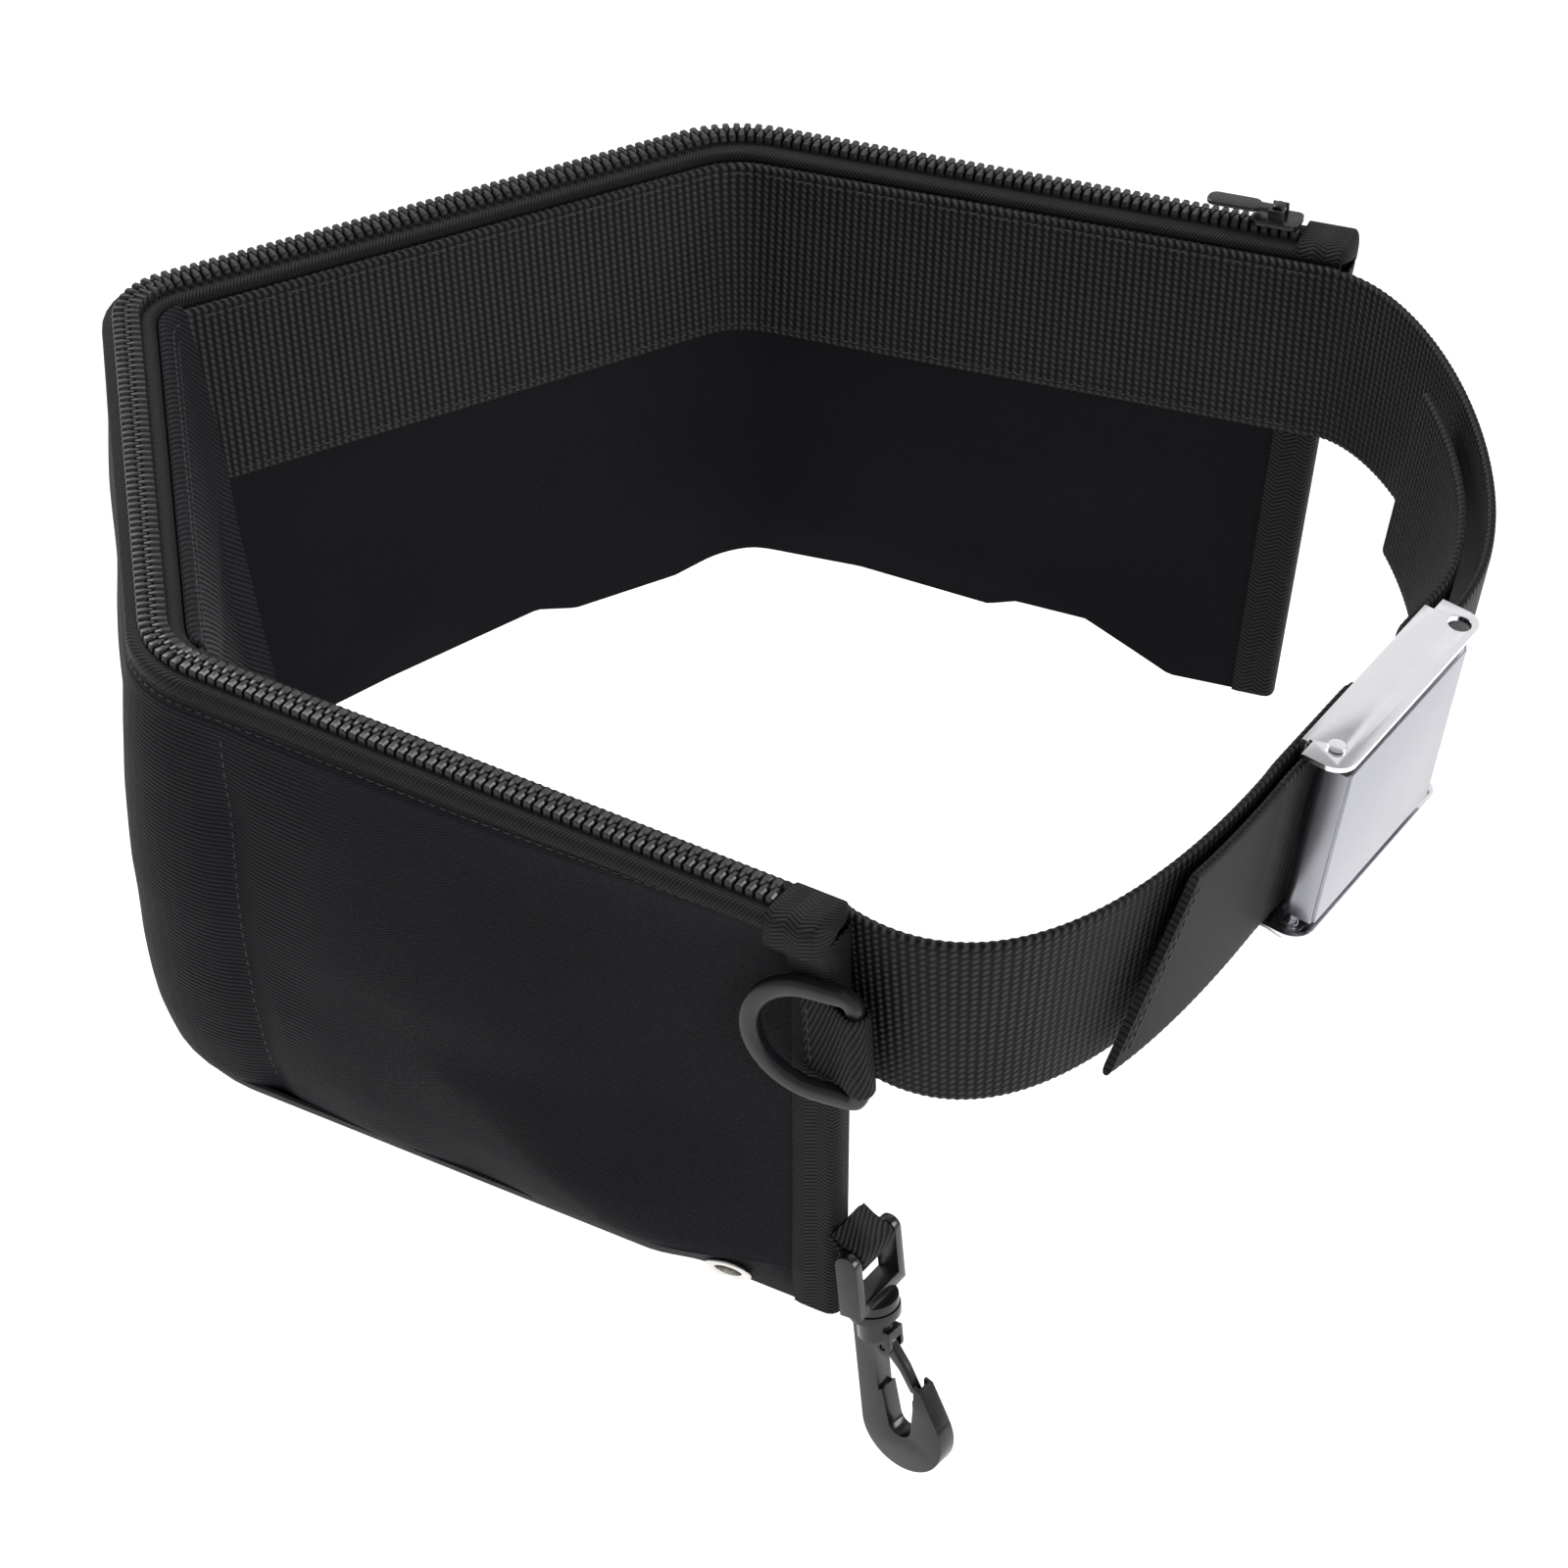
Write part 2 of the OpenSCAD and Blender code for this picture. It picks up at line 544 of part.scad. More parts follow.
module ring_outline(d) {
    r = ring_h / 2 + d;
    bow_x = ring_depth - ring_h / 2 - ring_band;
    intersection() {
        translate([bow_x, 0]) circle(r = r);
        translate([bow_x, -r]) square([r, 2 * r]);
    }
    translate([0, -r]) square([bow_x, 2 * r]);
}
module d_ring() {
    color(plastic_color) at_ring() rotate([0, 0, ring_open]) union() {
        rotate([90, 0, 0]) linear_extrude(height = ring_t, center = true) difference() {
            ring_outline(ring_band);
            ring_outline(0);
        }
        cylinder(h = ring_h + 2 * ring_band, d = ring_t, center = true);
    }
}

// ---- Snap hook: hangs from a tape loop at the bottom corner ----
eye_h = 0.19;
eye_out = 8.5;        // from the end of the pouch to the eye's bar
hook_tilt = 6;        // the hook hangs a little away from the pouch
eye_a = headings[0] + 90;
module at_eye() {
    p = at(0, eye_h, 1.5) - eye_out * [each dir(headings[0]), 0];
    translate(p) rotate([hook_tilt, 0, eye_a]) children();
}
eye_bar_d = 4;
clip_tape_t = 1.3;
clip_tape_a = 140;    // the tape rises from the bar to the binding
module clip_loop() {
    r = eye_bar_d / 2 + gap;
    color(web_color) at_eye() rotate([-hook_tilt, 0, 0]) rotate([90, 0, 90])
        linear_extrude(height = clip_tape_w, center = true) difference() {
            union() {
                circle(r = r + clip_tape_t);
                rotate(clip_tape_a) translate([0, -clip_tape_t])
                    square([eye_out - bind_t - lay, 2 * clip_tape_t]);
            }
            circle(r = r);
        }
}
arm_l = 13;
arm_t = 2.6;
arm_w = 6;
disc_r = 6.3;
disc_t = 2.4;
swivel_r = 2.1;
cap_r = 3.2;
cap_t = 1.4;
head_top = -arm_l - 1.6 - disc_t - gap;
swivel_low = head_top - 6.6;
module swivel_eye() {
    span = clip_tape_w + 1;
    color(plastic_color) at_eye() union() {
        rotate([0, 90, 0]) cylinder(h = span + 1, d = eye_bar_d, center = true);
        for (s = [-1, 1]) translate([s * (span + arm_t) / 2, 0, 0]) {
            rotate([0, 90, 0]) cylinder(h = arm_t, d = arm_w, center = true);
            translate([-arm_t / 2, -arm_w / 2, -arm_l]) cube([arm_t, arm_w, arm_l]);
        }
        translate([-span / 2 - arm_t, -arm_w / 2, -arm_l - 2]) cube([span + 2 * arm_t, arm_w, 3]);
        translate([0, 0, head_top + gap]) cylinder(h = disc_t, r = disc_r);
        translate([0, 0, swivel_low]) cylinder(h = -arm_l - 1 - swivel_low, r = swivel_r);
        translate([0, 0, swivel_low]) cylinder(h = cap_t, r = cap_r);
    }
}
hook_yaw = -38;       // direction that the nose points in
// Hook frame: x from the spine to the nose, y through its thickness, z up, z = 0 at the head's top.
module at_hook() { at_eye() rotate([0, 0, hook_yaw - eye_a]) translate([0, 0, head_top]) children(); }
head_r = cap_r + gap + 1.3;
head_h = 8.6;
spine_x = -5;
bow_r = (hook_w + 2) / 2;
bow_p = [spine_x + bow_r, bow_r - hook_len];
eye_r = 3.4;          // radius of the bottom of the hook's opening
open_p = bow_p + [-0.5, 1.5];
nose_z = bow_p.y + 15.5;
gate_p = [3.6, -head_h - 1.9];
gate_pin_d = 1.8;
gate_t = 2.8;
slot_t = gate_t + 2 * gap;
tip_p = [bow_p.x + 3.9, nose_z - 3.2];
module hook_outline() {
    difference() {
        union() {
            translate(bow_p) circle(r = bow_r);
            translate([spine_x, bow_p.y]) square([6, -bow_p.y - 1]);
            polygon([bow_p + [4, 4], [bow_p.x + 5, nose_z], [bow_p.x + 7, nose_z - 0.8],
                bow_p + [bow_r - 1, 5], bow_p + [8, 0]]);
            translate(gate_p) circle(r = 2.4);
            translate([gate_p.x - 2.4, gate_p.y]) square([4.8, -gate_p.y - head_h + 3]);
        }
        translate(open_p) circle(r = eye_r);
        polygon([[spine_x + 6, gate_p.y - 2.6], open_p - [eye_r, 0], open_p + [eye_r, 0],
            bow_p + [4.2, 8.5], [bow_p.x + 4.6, nose_z + 1], gate_p + [3, -2.6]]);
    }
}
module hook_body() {
    color(plastic_color) at_hook() difference() {
        union() {
            rotate([90, 0, 0]) linear_extrude(height = hook_t, center = true) hook_outline();
            translate([0, 0, -disc_t]) cylinder(h = disc_t, r = disc_r + 0.3);
            translate([0, 0, -head_h]) cylinder(h = head_h, r = head_r);
        }
        translate([0, 0, -head_h]) cylinder(h = head_h + 1, r = swivel_r + gap);
        translate([0, 0, swivel_low - head_top - gap]) cylinder(h = cap_t + 2 * gap, r = cap_r + gap);
        translate([gate_p.x - 2.5, -slot_t / 2, gate_p.y - 3]) cube([9, slot_t, 5.2]);
        translate([bow_p.x + 1, -slot_t / 2, nose_z - 4]) cube([5.2, slot_t, 8]);
        translate([gate_p.x, 0, gate_p.y]) rotate([90, 0, 0])
            cylinder(h = hook_t + 2, d = gate_pin_d, center = true);
    }
}
module hook_gate() {
    mid = mix(gate_p, tip_p, 0.5);
    color(plastic_color) at_hook() rotate([90, 0, 0]) union() {
        linear_extrude(height = gate_t, center = true) union() {
            translate(gate_p) circle(r = 1.9);
            polygon([gate_p + [1.7, 0.6], mid + [1.6, 0.9], tip_p + [1, 0], tip_p - [1, 0.2],
                mid - [0.3, 0.5], gate_p - [1.5, 1]]);
        }
        translate(gate_p) cylinder(h = hook_t - 0.4, d = gate_pin_d - 0.2, center = true);
    }
}

// ---- Drain eyelets, one near each end of the turned-under cloth ----
barrel_gap = 0.1;
barrel_r = drain_d / 2 + 0.7;
brim = 1.8;           // the eyelet's brim reaches this far beyond its barrel
brim_t = 0.8;
brim_lift = 0.8;      // room for the bend of the cloth under the brim
drill = 12;           // long enough to cut through the cloth
module at_drain(e) {
    k = drain_station(e);
    h = floor_h / 2;
    up = drain_point(e, 1) - drain_point(e, 0);
    along = at(k + 1, h, under(k + 1, h)) - at(k, h, under(k, h));
    n = cross(up, along) / norm(cross(up, along));
    translate(drain_point(e, 0.5)) rotate([0, acos(n.z), atan2(n.y, n.x)]) children();
}
module drain_eyelets() {
    color(steel_color) for (e = drain_ends) at_drain(e) difference() {
        union() {
            translate([0, 0, brim_lift]) cylinder(h = brim_t, r = barrel_r + brim);
            translate([0, 0, -cloth_t - 2]) cylinder(h = cloth_t + 2 + brim_lift + 0.1, r = barrel_r);
        }
        translate([0, 0, -drill / 2]) cylinder(h = drill, d = drain_d);
    }
}
module eyelet_washers() {
    color(steel_color) for (e = drain_ends) at_drain(e) translate([0, 0, -cloth_t - 1.9]) difference() {
        cylinder(h = brim_t, r = barrel_r + brim - 0.6);
        translate([0, 0, -1]) cylinder(h = 3, r = barrel_r + barrel_gap);
    }
}

outer_panel();
inner_panel();
bottom_panel();
wall_near_left();
wall_left_back();
wall_back_far();
webbing_cover();
end_binding_near();
end_binding_far();
zip_tape_outer();
zip_tape_inner();
zip_teeth_outer();
zip_teeth_inner();
zip_end_tab_near();
zip_end_tab_far();
zip_slider();
zip_pull();
belt_webbing();
d_ring_loop();
d_ring();
clip_loop();
swivel_eye();
hook_body();
hook_gate();
drain_eyelets();
eyelet_washers();
buckle_base();
buckle_lever();
lever_pin();
tail_stitching();
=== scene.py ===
import math

import bmesh
import bpy
import numpy as np
from mathutils import Matrix, Vector, noise


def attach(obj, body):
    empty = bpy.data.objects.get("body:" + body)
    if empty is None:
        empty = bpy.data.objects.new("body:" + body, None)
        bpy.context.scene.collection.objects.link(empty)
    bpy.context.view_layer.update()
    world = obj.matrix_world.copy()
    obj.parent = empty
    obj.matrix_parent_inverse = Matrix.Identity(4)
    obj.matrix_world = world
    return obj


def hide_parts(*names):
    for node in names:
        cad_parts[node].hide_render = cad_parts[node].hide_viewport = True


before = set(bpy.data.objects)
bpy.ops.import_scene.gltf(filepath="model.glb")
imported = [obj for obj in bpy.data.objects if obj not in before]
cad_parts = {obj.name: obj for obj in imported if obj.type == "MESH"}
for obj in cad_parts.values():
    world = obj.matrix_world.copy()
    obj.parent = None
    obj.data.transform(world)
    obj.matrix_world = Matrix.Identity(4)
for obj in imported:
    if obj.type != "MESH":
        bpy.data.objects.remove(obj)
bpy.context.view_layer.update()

# ---- Camera, floor and light ---------------------------------------------------------
# The belt is shown closed, from in front and a little above. Four large soft lights stand
# round it over a white floor that curves up behind it.

scene = bpy.context.scene
lens = bpy.data.cameras.new("camera")
lens.lens = 128.25
lens.sensor_width = 36
camera = bpy.data.objects.new("camera", lens)
camera.location = (0.0044, -1.1922, 0.9029)
camera.rotation_euler = (math.radians(54), 0, 0)
scene.collection.objects.link(camera)
scene.camera = camera
scene.view_settings.view_transform = "Standard"


def soft_light(name, place, aim, width, watts):
    data = bpy.data.lights.new(name, "AREA")
    data.shape = "RECTANGLE"
    data.size, data.size_y = width
    data.energy = watts
    light = bpy.data.objects.new(name, data)
    light.location = place
    light.rotation_euler = (Vector(aim) - Vector(place)).to_track_quat("-Z", "Y").to_euler()
    scene.collection.objects.link(light)
    return light


soft_light("window_light", (-0.9, 0.9, 1.5), (0, 0, 0.08), (1.0, 0.6), 34)
front_light = soft_light("front_light", (0.7, -1.6, 1.1), (0, 0, 0.05), (0.8, 0.5), 20)
front_light.visible_glossy = False
soft_light("right_light", (1.5, -0.1, 0.7), (0.1, 0, 0.08), (0.5, 0.9), 12)
soft_light("back_light", (0.8, 1.9, 1.7), (0.15, 0, 0.08), (1.6, 1.2), 3)

sky = bpy.data.worlds.new("studio")
scene.world = sky
sky.use_nodes = True
sky.node_tree.nodes["Background"].inputs["Color"].default_value = (1, 1, 1, 1)
sky.node_tree.nodes["Background"].inputs["Strength"].default_value = 0.45

floor_z = -0.30
sweep_points = [(-4, floor_z), (3.0, floor_z), (3.5, floor_z + 0.1), (3.9, floor_z + 0.45), (4, 2.5)]
floor_mesh = bpy.data.meshes.new("floor")
floor_mesh.from_pydata(
    [(x, y, z) for y, z in sweep_points for x in (-6, 6)], [],
    [(2 * i, 2 * i + 1, 2 * i + 3, 2 * i + 2) for i in range(len(sweep_points) - 1)])
floor = bpy.data.objects.new("floor", floor_mesh)
scene.collection.objects.link(floor)
paper = bpy.data.materials.new("white_paper")
paper.use_nodes = True
paper_shader = paper.node_tree.nodes["Principled BSDF"]
paper_shader.inputs["Base Color"].default_value = (0.9, 0.9, 0.9, 1)
paper_shader.inputs["Roughness"].default_value = 0.9
paper_shader.inputs["Emission Color"].default_value = (1, 1, 1, 1)
paper_shader.inputs["Emission Strength"].default_value = 0.1
floor_mesh.materials.append(paper)

# ---- Outer cloth ---------------------------------------------------------------------
# One strip of ribbed, coated nylon goes right round the outside of the four compartments.
# Its head is turned in under the zip's tape, and channels of stitching hold it at the folds.

mm = 0.001
pouch_height = 136 * mm
zip_offset = 7 * mm
cloth = 1.2 * mm
end_thickness = 4.4 * mm
turn_height = 12 * mm

compartments = [190 * mm, 160 * mm, 175 * mm, 175 * mm]
headings = [147, 98, 29, -20]
fold_radii = [20 * mm, 12 * mm, 22 * mm]
lean_in = [15 * mm, 9 * mm, 24 * mm, 15 * mm, 16 * mm]
end_slant = 10 * mm


def along(degrees):
    return np.array([math.cos(math.radians(degrees)), math.sin(math.radians(degrees))])


def outward(degrees):
    return np.array([-math.sin(math.radians(degrees)), math.cos(math.radians(degrees))])


def heading_of(vector):
    return math.degrees(math.atan2(vector[1], vector[0]))


top_corners = [np.zeros(2)]
for length, heading in zip(compartments, headings):
    top_corners.append(top_corners[-1] + length * along(heading))
chord = heading_of(top_corners[0] - top_corners[4])
buckle_place = (top_corners[0] + top_corners[4]) / 2 + 71 * mm * outward(chord) + 21 * mm * along(chord)
waist = (sum(top_corners) + buckle_place) / 6
top_corners = [corner - waist for corner in top_corners]
buckle_place = buckle_place - waist

bottom_corners = [top_corners[0] - lean_in[0] * outward(headings[0]) + end_slant * along(headings[0])]
for i in (1, 2, 3):
    both = outward(headings[i - 1]) + outward(headings[i])
    share = 1 + math.cos(math.radians(headings[i - 1] - headings[i]))
    bottom_corners.append(top_corners[i] - lean_in[i] * both / share)
bottom_corners.append(top_corners[4] - lean_in[4] * outward(headings[3]) - end_slant * along(headings[3]))


def folded_edge(corners, steps=56, bends=14):
    """Points and headings along one edge of the pouch, with a round fold at each inner corner."""
    angles = [heading_of(corners[i + 1] - corners[i]) for i in range(4)]
    cuts = [0, 0, 0, 0, 0]
    for i in (1, 2, 3):
        cuts[i] = fold_radii[i - 1] * math.tan(math.radians(angles[i - 1] - angles[i]) / 2)
    points, turned = [], []
    for i in range(4):
        start = corners[i] + cuts[i] * along(angles[i])
        stop = corners[i + 1] - cuts[i + 1] * along(angles[i])
        for t in np.linspace(0, 1, steps + 1):
            points.append(start + (stop - start) * t)
            turned.append(angles[i])
        if i < 3:
            centre = stop - fold_radii[i] * outward(angles[i])
            for t in np.linspace(0, 1, bends + 1)[1:-1]:
                angle = angles[i] + (angles[i + 1] - angles[i]) * t
                points.append(centre + fold_radii[i] * outward(angle))
                turned.append(angle)
    return np.array(points), np.array(turned)


top_edge, top_turn = folded_edge(top_corners)
bottom_edge, bottom_turn = folded_edge(bottom_corners)
stations = np.arange(len(top_edge))
run = np.concatenate([[0], np.cumsum(np.linalg.norm(np.diff(top_edge, axis=0), axis=1))])
pouch_run = run[-1]
fold_runs = [sum(compartments[:i]) * pouch_run / sum(compartments) for i in (1, 2, 3)]


def pouch(s, z, w):
    """Places s along the top edge from the D-ring's end, z up, w outside the inner face."""
    s, z, w = np.broadcast_arrays(s, z, w)
    k = np.interp(s, run, stations)
    h = z / pouch_height

    def edge_mix(low, high):
        return np.interp(k, stations, low) * (1 - h) + np.interp(k, stations, high) * h

    x = edge_mix(bottom_edge[:, 0], top_edge[:, 0])
    y = edge_mix(bottom_edge[:, 1], top_edge[:, 1])
    angle = np.radians(edge_mix(bottom_turn, top_turn))
    beyond = s - np.clip(s, 0, pouch_run)
    x = x - np.sin(angle) * w + np.cos(angle) * beyond
    y = y + np.cos(angle) * w + np.sin(angle) * beyond
    return np.stack([x, y, z], axis=-1)


def smooth(t):
    t = np.clip(t, 0, 1)
    return t * t * (3 - 2 * t)


def bump_at(value, middle, width):
    return np.exp(-((value - middle) / width) ** 2)


full_profile = [(0, 4), (12, 17.5), (27, 21.4), (45, 22.8), (68, 23), (90, 20.8), (109, 18), (122, 15.8),
                (129, 14.4), (136, 13.5)]
thin_profile = [(0, 4.4), (108, 5.2), (120, 7.0), (127, 10.6), (132, 13.0), (136, 13.5)]
levels = np.linspace(0, 136, 273)


def soft_profile(points):
    """A smooth curve through given widths, in metres, at every half millimetre up."""
    heights, widths = zip(*points)
    sharp = np.interp(levels, heights, widths)
    kernel = np.exp(-(np.arange(-16, 17) / 8.0) ** 2)
    padded = np.concatenate([2 * sharp[0] - sharp[16:0:-1], sharp, 2 * sharp[-1] - sharp[-2:-18:-1]])
    return np.convolve(padded, kernel / kernel.sum(), "valid") * mm


full_widths = soft_profile(full_profile)
thin_widths = soft_profile(thin_profile)


def outer_width(s, z):
    """Distance from the inner face to the outside of the filled pouch."""
    from_end = np.minimum(s, pouch_run - s)
    reach = 35 * mm + 85 * mm * np.clip(2.5 * z / pouch_height, 0, 1)
    fill = smooth(from_end / reach)
    full = np.interp(z / mm, levels, full_widths)
    thin = np.interp(z / mm, levels, thin_widths)
    return thin + (full - thin) * fill


channels = [fold_runs[0] + 2 * mm - 22 * mm, fold_runs[1] + 10 * mm, fold_runs[2] - 10 * mm]


def cloth_relief(s, z):
    """Soft creases: each stitched channel pulls the cloth in, and the foot puckers a little."""
    free = smooth(z / (20 * mm)) * smooth((128 * mm - z) / (30 * mm))
    relief = np.zeros_like(s)
    for place in channels:
        relief = relief - 2.2 * mm * bump_at(s, place, 5 * mm) * free
        relief = relief - 1.1 * mm * bump_at(s, place, 18 * mm) * free
    away = smooth(np.minimum(s, pouch_run - s) / (60 * mm))
    relief = relief + 0.5 * mm * np.sin(s / (9.5 * mm) + 4 * z / pouch_height) * free * away * (
        1 - smooth(z / (70 * mm)))
    relief = relief + 0.7 * mm * np.sin(s / (31 * mm) - 5 * z / pouch_height + 1.0) * free * away
    return relief


def dented(s, z, depth, size, seed):
    """Uneven hand of the cloth, from smooth noise that is the same on every run."""
    flat_s, flat_z = np.ravel(s), np.ravel(z)
    values = [noise.noise(Vector((a / size, b / size, seed))) for a, b in zip(flat_s, flat_z)]
    return depth * np.array(values).reshape(np.shape(s))


def new_piece(name, points, faces, lay=None, body="belt", flat_angle=None):
    """A mesh piece that rides on a body. lay holds each point's place along and across the cloth."""
    mesh = bpy.data.meshes.new(name)
    mesh.from_pydata([tuple(p) for p in points], [], faces)
    work = bmesh.new()
    work.from_mesh(mesh)
    bmesh.ops.recalc_face_normals(work, faces=work.faces)
    work.to_mesh(mesh)
    work.free()
    if lay is not None:
        held = mesh.attributes.new("lay", "FLOAT_VECTOR", "POINT")
        values = np.zeros((len(points), 3))
        values[:, :2] = np.asarray(lay)[:, :2]
        held.data.foreach_set("vector", values.ravel())
    mesh.shade_smooth()
    if flat_angle:
        mesh.set_sharp_from_angle(angle=math.radians(flat_angle))
    piece = bpy.data.objects.new(name, mesh)
    scene.collection.objects.link(piece)
    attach(piece, body)
    return piece


def loft(name, rings, lays=None, body="belt", flat_angle=50):
    """A closed solid through rings of points. Each ring is a closed loop of the same count."""
    rings = np.asarray(rings)
    count, size = rings.shape[:2]
    faces = []
    for k in range(count - 1):
        for i in range(size):
            j = (i + 1) % size
            faces.append((k * size + i, (k + 1) * size + i, (k + 1) * size + j, k * size + j))
    # The two ends are closed with strips from side to side, so that a bent end stays clean.
    half = size // 2
    for start in (0, (count - 1) * size):
        for i in range(half - 1):
            faces.append((start + i, start + i + 1, start + size - 2 - i, start + size - 1 - i))
    points = rings.reshape(-1, 3)
    lay = None if lays is None else np.asarray(lays).reshape(-1, 2)
    return new_piece(name, points, faces, lay, body, flat_angle)


def sheet_rings(runs, outline, thickness, inward):
    """Rings of a cloth of even thickness. outline(s) gives its (w, z) points at each run."""
    rings, lays = [], []
    for s in runs:
        front = outline(s)
        slope = np.gradient(front, axis=0)
        slope = slope / np.linalg.norm(slope, axis=1, keepdims=True)
        normal = np.stack([slope[:, 1], -slope[:, 0]], axis=1)
        back = front - normal * thickness * inward
        loop = np.concatenate([front, back[::-1]])
        rings.append(pouch(s, loop[:, 1], loop[:, 0]))
        up = np.concatenate([[0], np.cumsum(np.linalg.norm(np.diff(front, axis=0), axis=1))]) + front[0, 1]
        across = np.concatenate([up, up[::-1]])
        lays.append(np.stack([np.full_like(across, s), across], axis=1))
    return rings, lays


tape_foot = 131.5 * mm
shell_levels = np.concatenate([np.linspace(turn_height, 110 * mm, 44), np.linspace(112 * mm, tape_foot, 20)])
shell_runs = np.linspace(0, pouch_run, 300)
hand = dented(*np.meshgrid(shell_runs, shell_levels, indexing="ij"), 1.1 * mm, 34 * mm, 3.1)


def hem_lift(s):
    """The foot of the back compartments rides up, in scallops between its tacks."""
    tacks = [(0, 0), (320, 0), (359, 5), (392, 9), (448, 14), (462, 10.5), (500, 10), (525, 13.5),
             (560, 14), (603, 10.5), (612, 13), (635, 12), (652, 5), (664, 0), (700, 0)]
    where, lift = zip(*tacks)
    return np.interp(s / mm, where, lift) * mm


def shell_outline(s):
    z = shell_levels.copy()
    row = np.array([np.interp(s, shell_runs, hand[:, j]) for j in range(len(z))])
    calm = smooth(np.minimum(s, pouch_run - s) / (45 * mm)) * smooth((125 * mm - z) / (25 * mm))
    w = outer_width(s, z) + cloth_relief(np.full_like(z, s), z) + row * calm
    w = w - 0.55 * mm * bump_at(z, 129.3 * mm, 0.9 * mm) + 0.35 * mm * bump_at(z, 127 * mm, 2 * mm)
    lifted = z + hem_lift(s) * (1 - smooth((z - turn_height) / (40 * mm)))
    return np.stack([w, lifted], axis=1)


outer_panel = loft("outer_cloth", *sheet_rings(shell_runs, shell_outline, cloth, 1))
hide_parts("outer_panel")


class Link:
    """The output of a shader node. Arithmetic on it adds Math nodes."""

    def __init__(self, finish, socket):
        self.finish = finish
        self.socket = socket

    def maths(self, operation, first, second=0.0):
        return self.finish.node("ShaderNodeMath", {"operation": operation}, {0: first, 1: second})

    def __add__(self, other):
        return self.maths("ADD", self, other)

    def __sub__(self, other):
        return self.maths("SUBTRACT", self, other)

    def __rsub__(self, other):
        return self.maths("SUBTRACT", other, self)

    def __mul__(self, other):
        return self.maths("MULTIPLY", self, other)

    def __truediv__(self, other):
        return self.maths("DIVIDE", self, other)

    def __gt__(self, other):
        return self.maths("GREATER_THAN", self, other)

    __radd__ = __add__
    __rmul__ = __mul__


class Finish:
    """A material: constants go on the shader's own sockets, and node() adds all the rest."""

    def __init__(self, name, colour, roughness, **constants):
        self.material = bpy.data.materials.new(name)
        self.material.use_nodes = True
        self.tree = self.material.node_tree
        self.shader = self.tree.nodes["Principled BSDF"]
        self.shader.inputs["Base Color"].default_value = (*colour, 1)
        self.shader.inputs["Roughness"].default_value = roughness
        for socket, value in constants.items():
            self.shader.inputs[socket.replace("_", " ").title().replace("Ior", "IOR")].default_value = value

    def join(self, value, socket):
        if isinstance(value, Link):
            self.tree.links.new(value.socket, socket)
        else:
            socket.default_value = value

    def node(self, kind, settings, values, output=0):
        made = self.tree.nodes.new(kind)
        for key, value in settings.items():
            if key == "stops":
                for place, shade in value:
                    stop = made.color_ramp.elements.new(place)
                    stop.color = (shade, shade, shade, 1)
                made.color_ramp.elements.remove(made.color_ramp.elements[0])
                made.color_ramp.elements.remove(made.color_ramp.elements[-1])
            else:
                setattr(made, key, value)
        for key, value in values.items():
            self.join(value, made.inputs[key])
        return Link(self, made.outputs[output])

    def place(self):
        """Metres along and across the cloth."""
        lay = self.node("ShaderNodeAttribute", {"attribute_name": "lay"}, {}, "Vector")
        parts = self.tree.nodes.new("ShaderNodeSeparateXYZ")
        self.join(lay, parts.inputs[0])
        return lay, Link(self, parts.outputs[0]), Link(self, parts.outputs[1])

    def wave(self, value):
        return self.node("ShaderNodeMath", {"operation": "SINE"}, {0: value})

    def grain(self, vector, scale, detail=2.0):
        return self.node("ShaderNodeTexNoise", {}, {"Vector": vector, "Scale": scale, "Detail": detail})

    def tint(self, amount, dark, light):
        """Base colour between two shades by a 0 to 1 amount."""
        mixed = self.node("ShaderNodeMix", {"data_type": "RGBA"}, {0: amount, 6: (*dark, 1), 7: (*light, 1)}, 2)
        self.join(mixed, self.shader.inputs["Base Color"])

    def relief(self, height, distance, strength=1.0):
        bump = self.node("ShaderNodeBump", {}, {"Height": height, "Distance": distance, "Strength": strength})
        self.join(bump, self.shader.inputs["Normal"])

    def onto(self, *pieces):
        for piece in pieces:
            piece.data.materials.clear()
            piece.data.materials.append(self.material)


def turns(pitch):
    return 2 * math.pi / pitch


shell_finish = Finish("ribbed_nylon", (0.016, 0.017, 0.020), 0.7, specular_ior_level=0.1)
lay, s_place, z_place = shell_finish.place()
drift = shell_finish.grain(lay, 14.0, 1.0)
ribs = shell_finish.wave(z_place * turns(1.25 * mm) + drift * 5.0)
plain = shell_finish.wave(s_place * turns(1.05 * mm) + z_place * turns(2.6 * mm)) * shell_finish.wave(
    z_place * turns(1.0 * mm) - s_place * turns(3.4 * mm))
is_plain = shell_finish.node("ShaderNodeMapRange", {"interpolation_type": "SMOOTHSTEP"}, {
    "Value": s_place + drift * 0.03, "From Min": 0.135, "From Max": 0.175, "To Min": 1.0, "To Max": 0.15})
weave = plain * is_plain + ribs * (1.0 - is_plain) * 0.8
wear = shell_finish.grain(lay, 35.0, 4.0)
shell_finish.tint(weave * 0.55 + wear * 0.5 + 0.2, (0.0026, 0.0028, 0.0038), (0.0155, 0.016, 0.0195))
shell_finish.join(wear * 0.12 + 0.6, shell_finish.shader.inputs["Roughness"])
shell_finish.relief(weave, 0.16 * mm, 1.0)
shell_finish.onto(outer_panel)


# ---- Inner cloth ---------------------------------------------------------------------
# The side against the diver is a smoother woven cloth. Its head turns under the inner zip
# tape, and its foot follows the scalloped hem of the pouch.

inner_levels = np.concatenate([np.linspace(0.3 * mm, 78 * mm, 40), np.linspace(80 * mm, 134.6 * mm, 22)])
inner_hand = dented(*np.meshgrid(shell_runs, inner_levels, indexing="ij"), 1.5 * mm, 46 * mm, 9.4)


